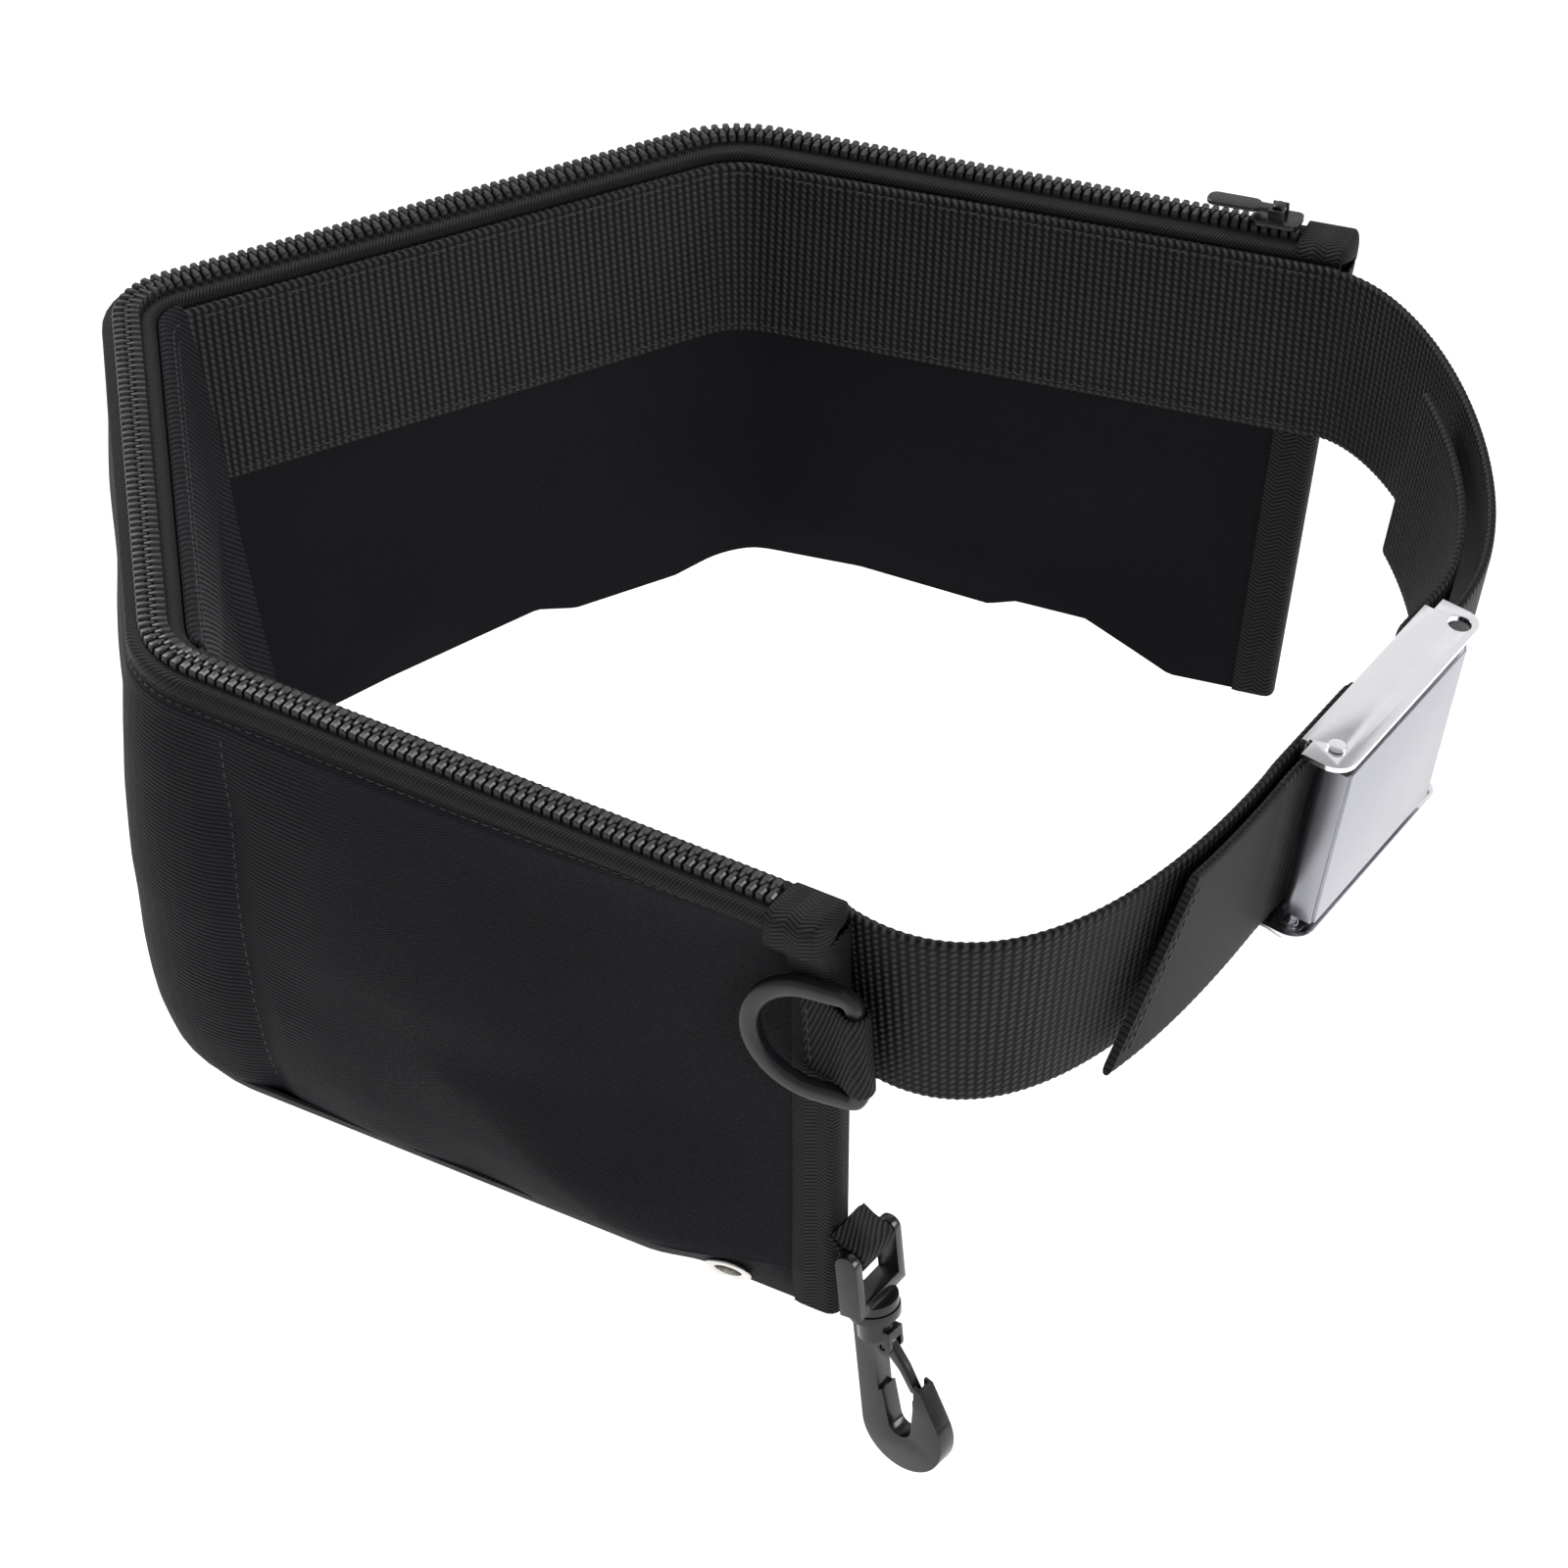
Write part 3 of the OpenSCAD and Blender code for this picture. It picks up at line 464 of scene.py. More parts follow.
def inner_outline(s):
    z = inner_levels
    row = np.array([np.interp(s, shell_runs, inner_hand[:, j]) for j in range(len(z))])
    loose = smooth((76 * mm - z) / (25 * mm)) * smooth(z / (14 * mm)) * smooth(
        np.minimum(s, pouch_run - s) / (30 * mm))
    lifted = z + hem_lift(s) * (1 - smooth(z / (45 * mm)))
    return np.stack([cloth + row * loose, lifted], axis=1)


inner_cloth = loft("inner_cloth", *sheet_rings(shell_runs, inner_outline, cloth, 1))
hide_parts("inner_panel")

lining_finish = Finish("smooth_lining", (0.011, 0.012, 0.014), 0.75,
                       specular_ior_level=0.09)
lay, s_place, z_place = lining_finish.place()
threads = lining_finish.wave(s_place * turns(0.7 * mm) + z_place * turns(0.7 * mm))
worn = lining_finish.grain(lay, 22.0, 4.0)
lining_finish.tint(threads * 0.25 + worn * 0.7, (0.0025, 0.0027, 0.0037), (0.0085, 0.009, 0.0115))
lining_finish.join(worn * 0.15 + 0.62, lining_finish.shader.inputs["Roughness"])
lining_finish.relief(threads * 0.5 + lining_finish.grain(lay, 160.0, 2.0), 0.08 * mm, 0.7)
lining_finish.onto(inner_cloth)

# ---- Bottom cloth and its eyelets ----------------------------------------------------
# The shell cloth turns in under the pouch and meets the inner cloth at the hem. A nickel
# eyelet near each end lets the water out.

eyelet_places = [(-8.823 * mm, -157.498 * mm, 6 * mm), (117.416 * mm, 110.116 * mm, 6 * mm)]
eyelet_axes = [(-0.3061, -0.7850, -0.5386), (0.4214, 0.7245, -0.5454)]
under_runs = np.unique(np.concatenate([shell_runs, np.linspace(15 * mm, 45 * mm, 31),
                                       np.linspace(pouch_run - 45 * mm, pouch_run - 15 * mm, 31)]))


def under_outline(s):
    wide = outer_width(s, turn_height)
    foot, steps = 4.4 * mm, np.linspace(0, 1, 15)
    slant = np.stack([wide + (foot - wide) * steps, turn_height * (1 - steps)], axis=1)
    from_eyelet = min(abs(s - 27 * mm), abs(pouch_run - 27 * mm - s))
    calm = smooth((from_eyelet - 7 * mm) / (18 * mm))
    slant += np.outer(np.sin(math.pi * steps), [0.75, -0.65]) * 1.6 * mm * calm
    hem = np.array([[3.4 * mm, 0.05 * mm], [2.2 * mm, 0.1 * mm]])
    path = np.concatenate([hem[::-1], slant[::-1]])
    path[:, 1] += hem_lift(s)
    return path


under_rings, under_lays = sheet_rings(under_runs, under_outline, cloth * 0.8, 1)


def pierce(piece, ring_size, holes, radius):
    """Cuts a round hole through both faces of a cloth, and closes the cut edge between them."""
    work = bmesh.new()
    work.from_mesh(piece.data)
    work.verts.ensure_lookup_table()

    def partner(vert):
        ring, place = divmod(vert.index, ring_size)
        return work.verts[ring * ring_size + ring_size - 1 - place]

    doomed = []
    for face in work.faces:
        corners = [v.co for v in face.verts] + [partner(v).co for v in face.verts]
        middle = sum(corners, Vector()) / len(corners)
        for place, axis in holes:
            reach = middle - Vector(place)
            if reach.length < 3 * radius and (reach - Vector(axis) * reach.dot(Vector(axis))).length < radius:
                doomed.append(face)
                break
    bmesh.ops.delete(work, geom=doomed, context="FACES_ONLY")
    rims = [edge for edge in work.edges if len(edge.link_faces) == 1]
    closed = set()
    for edge in rims:
        first, second = edge.verts
        quad = (first, second, partner(second), partner(first))
        key = frozenset(v.index for v in quad)
        if key not in closed:
            closed.add(key)
            work.faces.new(quad)
    bmesh.ops.delete(work, geom=[v for v in work.verts if not v.link_faces], context="VERTS")
    bmesh.ops.delete(work, geom=[e for e in work.edges if not e.link_faces], context="EDGES")
    bmesh.ops.recalc_face_normals(work, faces=work.faces)
    work.to_mesh(piece.data)
    work.free()
    piece.data.set_sharp_from_angle(angle=math.radians(50))


under_cloth = loft("under_cloth", under_rings, under_lays)
pierce(under_cloth, len(under_rings[0]), list(zip(eyelet_places, eyelet_axes)), 4.5 * mm)
shell_finish.onto(under_cloth)
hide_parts("bottom_panel")

nickel = Finish("satin_nickel", (0.62, 0.60, 0.57), 0.24, metallic=1.0)
where = nickel.node("ShaderNodeTexCoord", {}, {}, "Object")
scuffs = nickel.grain(where, 900.0, 3.0)
nickel.join(scuffs * 0.22 + 0.16, nickel.shader.inputs["Roughness"])
nickel.tint(nickel.grain(where, 260.0, 2.0), (0.50, 0.48, 0.45), (0.72, 0.70, 0.67))


def rounded_copy(name, node, body, width, turn=28, segments=3):
    """A finished part in the place of a CAD node: the same shape with its edges rounded."""
    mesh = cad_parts[node].data.copy()
    mesh.name = name
    mesh.transform(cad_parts[node].matrix_world)
    work = bmesh.new()
    work.from_mesh(mesh)
    bmesh.ops.remove_doubles(work, verts=work.verts, dist=0.002 * mm)
    bmesh.ops.dissolve_limit(work, angle_limit=math.radians(0.4), verts=work.verts, edges=work.edges)
    edges = [e for e in work.edges if len(e.link_faces) == 2 and e.calc_face_angle() > math.radians(turn)]
    bmesh.ops.bevel(work, geom=edges, offset=width, segments=segments, profile=0.5, affect="EDGES",
                    clamp_overlap=True)
    bmesh.ops.remove_doubles(work, verts=work.verts, dist=0.002 * mm)
    bmesh.ops.recalc_face_normals(work, faces=work.faces)
    work.to_mesh(mesh)
    work.free()
    mesh.shade_smooth()
    mesh.set_sharp_from_angle(angle=math.radians(35))
    piece = bpy.data.objects.new(name, mesh)
    scene.collection.objects.link(piece)
    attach(piece, body)
    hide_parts(node)
    return piece


for name, node in (("nickel_eyelets", "drain_eyelets"), ("nickel_washers", "eyelet_washers")):
    fitting = rounded_copy(name, node, "belt", 0.28 * mm)
    nickel.onto(fitting)

# ---- Walls inside the folds ----------------------------------------------------------
# A strip of lining stands across the pouch at each fold, sewn in at both sides. It keeps
# each weight in its own compartment.

for name, node, place in (("fold_wall_1", "wall_near_left", fold_runs[0]),
                          ("fold_wall_2", "wall_left_back", fold_runs[1]),
                          ("fold_wall_3", "wall_back_far", fold_runs[2])):
    outline = shell_outline(place)
    rings, lays = [], []
    for z in np.linspace(14 * mm + hem_lift(place) * 0.5, 124 * mm, 45):
        far = np.interp(z, outline[:, 1], outline[:, 0]) - cloth - 0.9 * mm
        across = np.linspace(cloth + 0.4 * mm, far, 9)
        bow = 0.8 * mm * np.sin(math.pi * np.linspace(0, 1, 9)) * math.sin(z / (17 * mm))
        rings.append(np.concatenate([pouch(place + bow + 0.45 * mm, z, across),
                                     pouch(place + bow - 0.45 * mm, z, across)[::-1]]))
        spread = np.concatenate([across, across[::-1]])
        lays.append(np.stack([spread, np.full_like(spread, z)], axis=1))
    wall = loft(name, rings, lays)
    lining_finish.onto(wall)
    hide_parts(node)

# ---- Facing over the webbing ---------------------------------------------------------
# Inside the left compartment a panel of diagonally ribbed cloth covers the webbing. It is
# sewn under the zip tape with two rows of thread and turned under at the hem.

facing_start = fold_runs[0] + 2 * mm
facing_stop = fold_runs[1] + 6 * mm
facing_path = np.array([(-0.5, 6), (-0.6, 40), (-1.2, 64), (-2.8, 76), (-4.5, 84), (-5.1, 92), (-5.2, 104),
                        (-5.2, 118), (-5.1, 124), (-4.7, 129), (-3.9, 132.5), (-2.6, 134.2),
                        (-1.4, 134.9)]) * mm
facing_steps = np.linspace(0, len(facing_path) - 1, 60)


def facing_outline(s):
    w = np.interp(facing_steps, np.arange(len(facing_path)), facing_path[:, 0])
    z = np.interp(facing_steps, np.arange(len(facing_path)), facing_path[:, 1])
    w = np.convolve(np.pad(w, 2, "edge"), np.ones(5) / 5, "valid")
    z = z + hem_lift(s) * (1 - smooth(z / (45 * mm)))
    ease = smooth((z - 15 * mm) / (15 * mm)) * smooth((76 * mm - z) / (20 * mm))
    w = w - ease * (0.5 * mm + 0.45 * mm * np.sin(s / (12 * mm) + z / (30 * mm)))
    return np.stack([w, z], axis=1)


def turned_side(outline):
    """The same outline read from the head down, so that its face is the side against the diver."""
    return lambda s: outline(s)[::-1]


facing = loft("ribbed_facing", *sheet_rings(np.linspace(facing_start, facing_stop, 120),
                                            turned_side(facing_outline), 0.9 * mm, 1))
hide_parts("webbing_cover")

facing_finish = Finish("diagonal_ribs", (0.016, 0.017, 0.020), 0.7,
                       specular_ior_level=0.13)
lay, s_place, z_place = facing_finish.place()
drift = facing_finish.grain(lay, 20.0, 1.0)
ribs = facing_finish.wave(z_place * turns(1.7 * mm) - s_place * turns(2.4 * mm) + drift * 3.0)
worn = facing_finish.grain(lay, 40.0, 4.0)
facing_finish.tint(ribs * 0.5 + worn * 0.4 + 0.25, (0.0028, 0.003, 0.004), (0.0165, 0.017, 0.0205))
facing_finish.relief(ribs, 0.16 * mm, 0.9)
facing_finish.onto(facing)

# ---- Bindings at the two ends --------------------------------------------------------
# A ribbed tape is folded round each end of the pouch, over both cloths, and sewn through
# with two rows of thread.

binding_reach = 10.5 * mm
binding_path = [(binding_reach, 1, 0.55), (8.5 * mm, 1, 0.9), (6 * mm, 1, 0.95), (3 * mm, 1, 1.0),
                (0.6 * mm, 1, 0.95), (-0.5 * mm, 1, 0.45), (-1.15 * mm, 1, -0.5), (-1.45 * mm, 1, -1.6),
                (-1.45 * mm, 0, 1.2), (-1.2 * mm, 0, 0.2), (-0.5 * mm, 0, -0.5), (0.6 * mm, 0, -0.7),
                (3 * mm, 0, -0.7), (6 * mm, 0, -0.7), (8.5 * mm, 0, -0.7), (binding_reach, 0, -0.45)]


def shell_width(s, z):
    """Outside of the outer cloth, from the inner face, at one run and height."""
    outline = shell_outline(np.clip(s, 0, pouch_run))
    return np.interp(z, outline[:, 1], outline[:, 0])


def binding(name, node, far_end):
    rings, lays = [], []
    for z in np.concatenate([np.linspace(0.4 * mm, 112 * mm, 70), np.linspace(113.5 * mm, 129.5 * mm, 14)]):
        path = []
        for s, side, lift in binding_path:
            place = pouch_run - s if far_end else s
            wide = shell_width(place, max(z, 13 * mm))
            if z < 13 * mm:
                wide = end_thickness + (wide - end_thickness) * max(z, 0.5 * mm) / (13 * mm)
            path.append((s, side * wide + lift * mm))
        path = np.array(path)
        slope = np.gradient(path, axis=0)
        slope /= np.linalg.norm(slope, axis=1, keepdims=True)
        inner = path + np.stack([-slope[:, 1], slope[:, 0]], axis=1) * -0.62 * mm
        loop = np.concatenate([path, inner[::-1]])
        place = pouch_run - loop[:, 0] if far_end else loop[:, 0]
        rings.append(pouch(place, z, loop[:, 1]))
        across = np.concatenate([[0], np.cumsum(np.linalg.norm(np.diff(path, axis=0), axis=1))])
        lays.append(np.stack([np.concatenate([across, across[::-1]]), np.full(len(loop), z)], axis=1))
    made = loft(name, rings, lays, flat_angle=60)
    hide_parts(node)
    return made


binding_near = binding("binding_near", "end_binding_near", False)
binding_far = binding("binding_far", "end_binding_far", True)

tape_finish = Finish("ribbed_tape", (0.020, 0.020, 0.018), 0.65,
                     specular_ior_level=0.15)
lay, s_place, z_place = tape_finish.place()
half_tape = tape_finish.node("ShaderNodeMath", {"operation": "PINGPONG"}, {0: s_place, 1: 3.6 * mm})
ribs = tape_finish.wave(z_place * turns(1.2 * mm) + half_tape * turns(2.6 * mm))
worn = tape_finish.grain(lay, 60.0, 3.0)
tape_finish.tint(ribs * 0.5 + worn * 0.4 + 0.2, (0.0026, 0.0026, 0.0027), (0.020, 0.020, 0.0195))
tape_finish.relief(ribs, 0.14 * mm, 0.9)
tape_finish.onto(binding_near, binding_far)

# ---- Zip tapes -----------------------------------------------------------------------
# Each row of teeth is carried on a woven tape that folds over the head of the pouch and is
# sewn down on it.

outer_tape_path = np.array([(14.1, 131.3), (14.15, 132.6), (14.0, 133.9), (13.6, 134.9), (12.9, 135.6),
                            (11.9, 135.95), (10.6, 136), (9.2, 136), (7.5, 136)]) * mm
inner_tape_path = np.array([(6.5, 136), (4.8, 136), (3.2, 136), (1.8, 135.95), (0.7, 135.75), (0.0, 135.3),
                            (-0.4, 134.7), (-0.55, 134.0), (-0.6, 133.3)]) * mm


def tape_outline(path):
    def outline(s):
        steps = np.linspace(0, len(path) - 1, 25)
        w = np.interp(steps, np.arange(len(path)), path[:, 0])
        z = np.interp(steps, np.arange(len(path)), path[:, 1])
        soft = np.stack([w, z], axis=1)
        soft[1:-1] = (soft[:-2] + soft[1:-1] * 2 + soft[2:]) / 4
        return soft
    return outline


zip_tape_finish = Finish("zip_tape", (0.016, 0.016, 0.014), 0.62,
                         specular_ior_level=0.15)
lay, s_place, z_place = zip_tape_finish.place()
ribs = zip_tape_finish.wave(s_place * turns(1.0 * mm) + z_place * turns(1.5 * mm))
worn = zip_tape_finish.grain(lay, 50.0, 3.0)
zip_tape_finish.tint(ribs * 0.5 + worn * 0.4 + 0.2, (0.0026, 0.0026, 0.0025), (0.019, 0.0188, 0.0178))
zip_tape_finish.relief(ribs, 0.12 * mm, 0.9)
for name, node, path in (("tape_outer", "zip_tape_outer", outer_tape_path),
                         ("tape_inner", "zip_tape_inner", inner_tape_path)):
    tape = loft(name, *sheet_rings(np.linspace(0.4 * mm, pouch_run - 0.4 * mm, 320), tape_outline(path),
                                   0.75 * mm, 1))
    zip_tape_finish.onto(tape)
    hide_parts(node)

# ---- Zip teeth -----------------------------------------------------------------------
# Two rows of moulded teeth are staggered so that each head sits between two of the other
# row. Each tooth is a chamfered block that narrows to its head.

tooth_pitch = 2.8 * mm
tooth_sections = [(3.7, 0.70, 1.7), (3.45, 0.98, 2.35), (1.4, 1.0, 2.6), (0.75, 0.66, 2.5), (-0.35, 0.62, 2.4),
                  (-0.62, 0.40, 2.0)]
tooth_outline = [(-1, 0, 0), (-1, 1, -0.55), (-0.62, 1, 0), (0.62, 1, 0), (1, 1, -0.55), (1, 0, 0)]
fine_runs = np.linspace(0, pouch_run, 3000)
chain_line = pouch(fine_runs, pouch_height, zip_offset)
chain_run = np.concatenate([[0], np.cumsum(np.linalg.norm(np.diff(chain_line, axis=0), axis=1))])
teeth_from = np.interp(14 * mm, fine_runs, chain_run)
teeth_to = np.interp(pouch_run - 14 * mm, fine_runs, chain_run)


def teeth_row(name, node, side, shift):
    points, faces, lays = [], [], []
    size = len(tooth_outline)
    for place in np.arange(teeth_from + shift, teeth_to, tooth_pitch):
        s = np.interp(place, chain_run, fine_runs)
        middle = pouch(s, pouch_height, zip_offset)
        ahead = pouch(s + 0.5 * mm, pouch_height, zip_offset) - pouch(s - 0.5 * mm, pouch_height, zip_offset)
        ahead /= np.linalg.norm(ahead)
        out = np.array([-ahead[1], ahead[0], 0]) * side
        first = len(points)
        for reach, half_wide, high in tooth_sections:
            for a, up, drop in tooth_outline:
                points.append(middle + ahead * a * half_wide * mm + out * reach * mm
                              + np.array([0, 0, (up * (high + drop)) * mm]))
                lays.append((place, reach * mm * side))
        count = len(tooth_sections)
        for k in range(count - 1):
            for i in range(size):
                j = (i + 1) % size
                faces.append((first + k * size + i, first + (k + 1) * size + i, first + (k + 1) * size + j,
                              first + k * size + j))
        faces.append(tuple(first + i for i in range(size)))
        faces.append(tuple(first + (count - 1) * size + i for i in reversed(range(size))))
    made = new_piece(name, points, faces, lays, flat_angle=24)
    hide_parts(node)
    return made


teeth_finish = Finish("moulded_teeth", (0.022, 0.022, 0.023), 0.28, specular_ior_level=0.5)
lay, s_place, z_place = teeth_finish.place()
rub = teeth_finish.grain(lay, 500.0, 3.0)
teeth_finish.join(rub * 0.25 + 0.18, teeth_finish.shader.inputs["Roughness"])
teeth_finish.tint(rub, (0.006, 0.006, 0.0065), (0.020, 0.020, 0.021))
teeth_finish.onto(teeth_row("teeth_outer", "zip_teeth_outer", 1, 0.0),
                  teeth_row("teeth_inner", "zip_teeth_inner", -1, tooth_pitch / 2))

# ---- End tabs of the zip -------------------------------------------------------------
# Each end of the zip is covered by a short piece of ribbed tape, folded over the head of
# the pouch and sewn down on both sides.

tab_path = np.array([(14.9, 127.2), (15.0, 129.5), (15.1, 132.0), (15.0, 134.4), (14.4, 136.2), (13.1, 137.3),
                     (11.2, 137.7), (8.5, 137.8), (5.5, 137.8), (2.6, 137.6), (0.6, 137.0), (-0.6, 135.9),
                     (-0.85, 134.8), (-0.9, 133.9)]) * mm
tab_length = 13 * mm


def closed_tab(s):
    """The tab's outline, drawn in over the end of the pouch until it nearly closes."""
    outline = tape_outline(tab_path)(s)
    past = np.clip(max(-s, s - pouch_run) / (2.4 * mm), 0, 1)
    middle = np.array([7.0, 132.5]) * mm
    return middle + (outline - middle) * (1 - 0.82 * (1 - math.sqrt(1 - past ** 2)) - 0.1 * past)


def end_tab(name, node, start, stop):
    shares = (1 - np.cos(np.linspace(0, math.pi, 41))) / 2
    made = loft(name, *sheet_rings(start + (stop - start) * shares, closed_tab, 0.8 * mm, 1))
    tape_finish.onto(made)
    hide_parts(node)


end_tab("tab_near", "zip_end_tab_near", -2.4 * mm, tab_length - 0.3 * mm)
end_tab("tab_far", "zip_end_tab_far", pouch_run - tab_length + 0.3 * mm, pouch_run + 2.4 * mm)

# ---- Slider and pull -----------------------------------------------------------------
# The moulded slider is parked near the far end of the zip. Its flat pull turns on a pin
# between two lugs.

slider_finish = Finish("slider_plastic", (0.014, 0.014, 0.015), 0.25, specular_ior_level=0.45)
where = slider_finish.node("ShaderNodeTexCoord", {}, {}, "Object")
slider_finish.join(slider_finish.grain(where, 700.0, 3.0) * 0.22 + 0.16,
                   slider_finish.shader.inputs["Roughness"])
slider_finish.tint(slider_finish.grain(where, 240.0, 2.0), (0.004, 0.004, 0.0045), (0.011, 0.011, 0.012))
for name, node, body, width in (("slider_body", "zip_slider", "slider", 0.35 * mm),
                                ("slider_tab", "zip_pull", "pull", 0.3 * mm)):
    moulding = rounded_copy(name, node, body, width)
    slider_finish.onto(moulding)

# ---- Belt webbing --------------------------------------------------------------------
# One strap of coarse 50 mm nylon webbing. Its fixed end threads the buckle's bar, it is sewn
# round the inside of the pouch, comes back over the fixed end and ends in a slanted tip.

web_height = (133 - 25) * mm
web_width = 50 * mm
web_thickness = 2.4 * mm
buckle_turn = chord - 6
buckle_lean = 9
half_buckle = 38 * mm
under_base = -3.0 * mm
on_base = 1.5 * mm
on_strap = 4.2 * mm
sewn_place = -2.0 * mm
sewn_lean = 6
outer_tail = 58 * mm
inner_tail = 88 * mm
tip_cut = 20 * mm
tail_lift = 3 * mm


def in_buckle(u, w, v):
    """Metres along the belt, outwards and up from the middle of the buckle, as a place."""
    s, c = math.sin(math.radians(buckle_lean)), math.cos(math.radians(buckle_lean))
    flat = buckle_place + u * along(buckle_turn) + (w * c + v * s) * outward(buckle_turn)
    return np.array([flat[0], flat[1], web_height + v * c - w * s])


def on_curve(q, t):
    s = 1 - t
    return s ** 3 * q[0] + 3 * s * s * t * q[1] + 3 * s * t * t * q[2] + t ** 3 * q[3]


def curve_heading(q, t):
    s = 1 - t
    return heading_of(s * s * (q[1] - q[0]) + 2 * s * t * (q[2] - q[1]) + t * t * (q[3] - q[2]))


def curve_length(q):
    points = np.array([on_curve(q, j / 12) for j in range(13)])
    return np.linalg.norm(np.diff(points, axis=0), axis=1).sum()


def strap_frame(place, heading, lean):
    """Middle, outward direction and upward direction of the strap at one point."""
    out = outward(heading)
    s, c = math.sin(math.radians(lean)), math.cos(math.radians(lean))
    return (np.array([*place, web_height]), np.array([*(out * c), -s]), np.array([*(out * s), c]))


near_strap = [in_buckle(half_buckle + 6 * mm, under_base, 0)[:2],
              in_buckle(half_buckle + 56 * mm, under_base + 2 * mm, 0)[:2],
              pouch(0, web_height, 12 * mm)[:2] - 48 * mm * along(headings[0]),
              pouch(0, web_height, sewn_place)[:2]]
far_strap = [pouch(pouch_run, web_height, sewn_place)[:2],
             pouch(pouch_run, web_height, -4 * mm)[:2] + 30 * mm * along(headings[3]),
             in_buckle(-half_buckle - 52 * mm, on_strap, 0)[:2],
             in_buckle(-half_buckle - 6 * mm, on_strap, 0)[:2]]
near_length, far_length = curve_length(near_strap), curve_length(far_strap)


def beside(q, t, distance):
    return on_curve(q, t) + distance * outward(curve_heading(q, t))


def through_buckle(corners):
    frames = []
    for (u0, w0), (u1, w1) in zip(corners[:-1], corners[1:]):
        for t in np.linspace(0, 1, max(2, int(abs(u1 - u0) / mm)), endpoint=False):
            u, w = (u0 + (u1 - u0) * t), (w0 + (w1 - w0) * t)
            middle = in_buckle(u, w, 0)
            frames.append((middle, in_buckle(u, w + 1, 0) - middle, in_buckle(u, w, 1) - middle))
    return frames


def tail_frame(t):
    low_run, top_run = t * outer_tail, t * (outer_tail - tip_cut)
    edges = []
    for s, side in ((low_run, -1), (top_run, 1)):
        place = beside(near_strap, s / near_length, on_base - under_base + tail_lift * (s / outer_tail) ** 2)
        middle, out, up = strap_frame(place, curve_heading(near_strap, s / near_length), buckle_lean)
        edges.append(middle + side * up * web_width / 2)
    return (edges[0] + edges[1]) / 2, out, (edges[1] - edges[0]) / web_width


frames = []
for t in np.linspace(0, 1, 80):
    s = 1 - (1 - t) * inner_tail / far_length
    place = beside(far_strap, s, under_base - on_strap - tail_lift * (1 - t) ** 2)
    frames.append(strap_frame(place, curve_heading(far_strap, s), buckle_lean))
frames += through_buckle([(-38 * mm, under_base), (-24 * mm, under_base), (-15 * mm, on_base),
                          (-5 * mm, on_base), (4 * mm, under_base), (44 * mm, under_base)])
for t in np.linspace(0, 1, 120)[1:-1]:
    lean = buckle_lean + (sewn_lean - buckle_lean) * t
    frames.append(strap_frame(on_curve(near_strap, t), curve_heading(near_strap, t), lean))
for s in np.linspace(0, pouch_run, 500):
    low = pouch(s, web_height - web_width / 2, sewn_place)
    top = pouch(s, web_height + web_width / 2, sewn_place)
    step = pouch(s + mm, web_height, sewn_place) - pouch(s - mm, web_height, sewn_place)
    frames.append(((low + top) / 2, np.array([-step[1], step[0], 0]) / np.linalg.norm(step[:2]),
                   (top - low) / web_width))
for t in np.linspace(0, 1, 120)[1:-1]:
    lean = sewn_lean + (buckle_lean - sewn_lean) * t
    frames.append(strap_frame(on_curve(far_strap, t), curve_heading(far_strap, t), lean))
frames += through_buckle([(-44 * mm, on_strap), (-2 * mm, on_strap), (13 * mm, on_base), (38 * mm, on_base)])
tail_start = len(frames)
for t in np.linspace(0, 1, 90):
    frames.append(tail_frame(t))

middles, outs, ups = (np.array([f[i] for f in frames]) for i in range(3))
strap_run = np.concatenate([[0], np.cumsum(np.linalg.norm(np.diff(middles, axis=0), axis=1))])
tail_from = strap_run[tail_start]
even_run = np.linspace(0, strap_run[-1], int(strap_run[-1] / (1.1 * mm)))


def along_strap(values, blur=4):
    """Values at even steps along the strap, with its kinks eased."""
    even = np.stack([np.interp(even_run, strap_run, values[:, i]) for i in range(3)], axis=1)
    kernel = np.exp(-(np.arange(-blur, blur + 1) / (blur / 2)) ** 2)
    ends = np.concatenate([2 * even[0] - even[blur:0:-1], even, 2 * even[-1] - even[-2:-blur - 2:-1]])
    return np.stack([np.convolve(ends[:, i], kernel / kernel.sum(), "valid") for i in range(3)], axis=1)


middles, outs, ups = along_strap(middles), along_strap(outs), along_strap(ups)
edge_fractions = np.array([-1, -0.99, -0.965, -0.92, -0.84, -0.7, -0.5, -0.25, 0, 0.25, 0.5, 0.7, 0.84, 0.92,
                           0.965, 0.99, 1])
thickness_share = np.array([0.22, 0.6, 0.88, 1, 1, 1, 1, 1, 1, 1, 1, 1, 1, 1, 0.88, 0.6, 0.22])
strap_rings, strap_lays = [], []
for i, (middle, out, up) in enumerate(zip(middles, outs, ups)):
    across = edge_fractions * web_width / 2
    across = across * (1 + (0.010 if i % 2 else -0.004) * (np.abs(edge_fractions) > 0.95))
    lift = thickness_share * web_thickness / 2
    front = middle + np.outer(across, up) + np.outer(lift, out)
    back = middle + np.outer(across, up) - np.outer(lift, out)
    strap_rings.append(np.concatenate([front, back[::-1]]))
    slant = up @ np.array([-out[1], out[0], 0]) * -1
    place = even_run[i] + slant * across
    strap_lays.append(np.stack([np.concatenate([place, place[::-1]]),
                                np.concatenate([across, across[::-1]])], axis=1))
webbing = loft("webbing_strap", strap_rings, strap_lays, flat_angle=70)
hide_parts("belt_webbing")

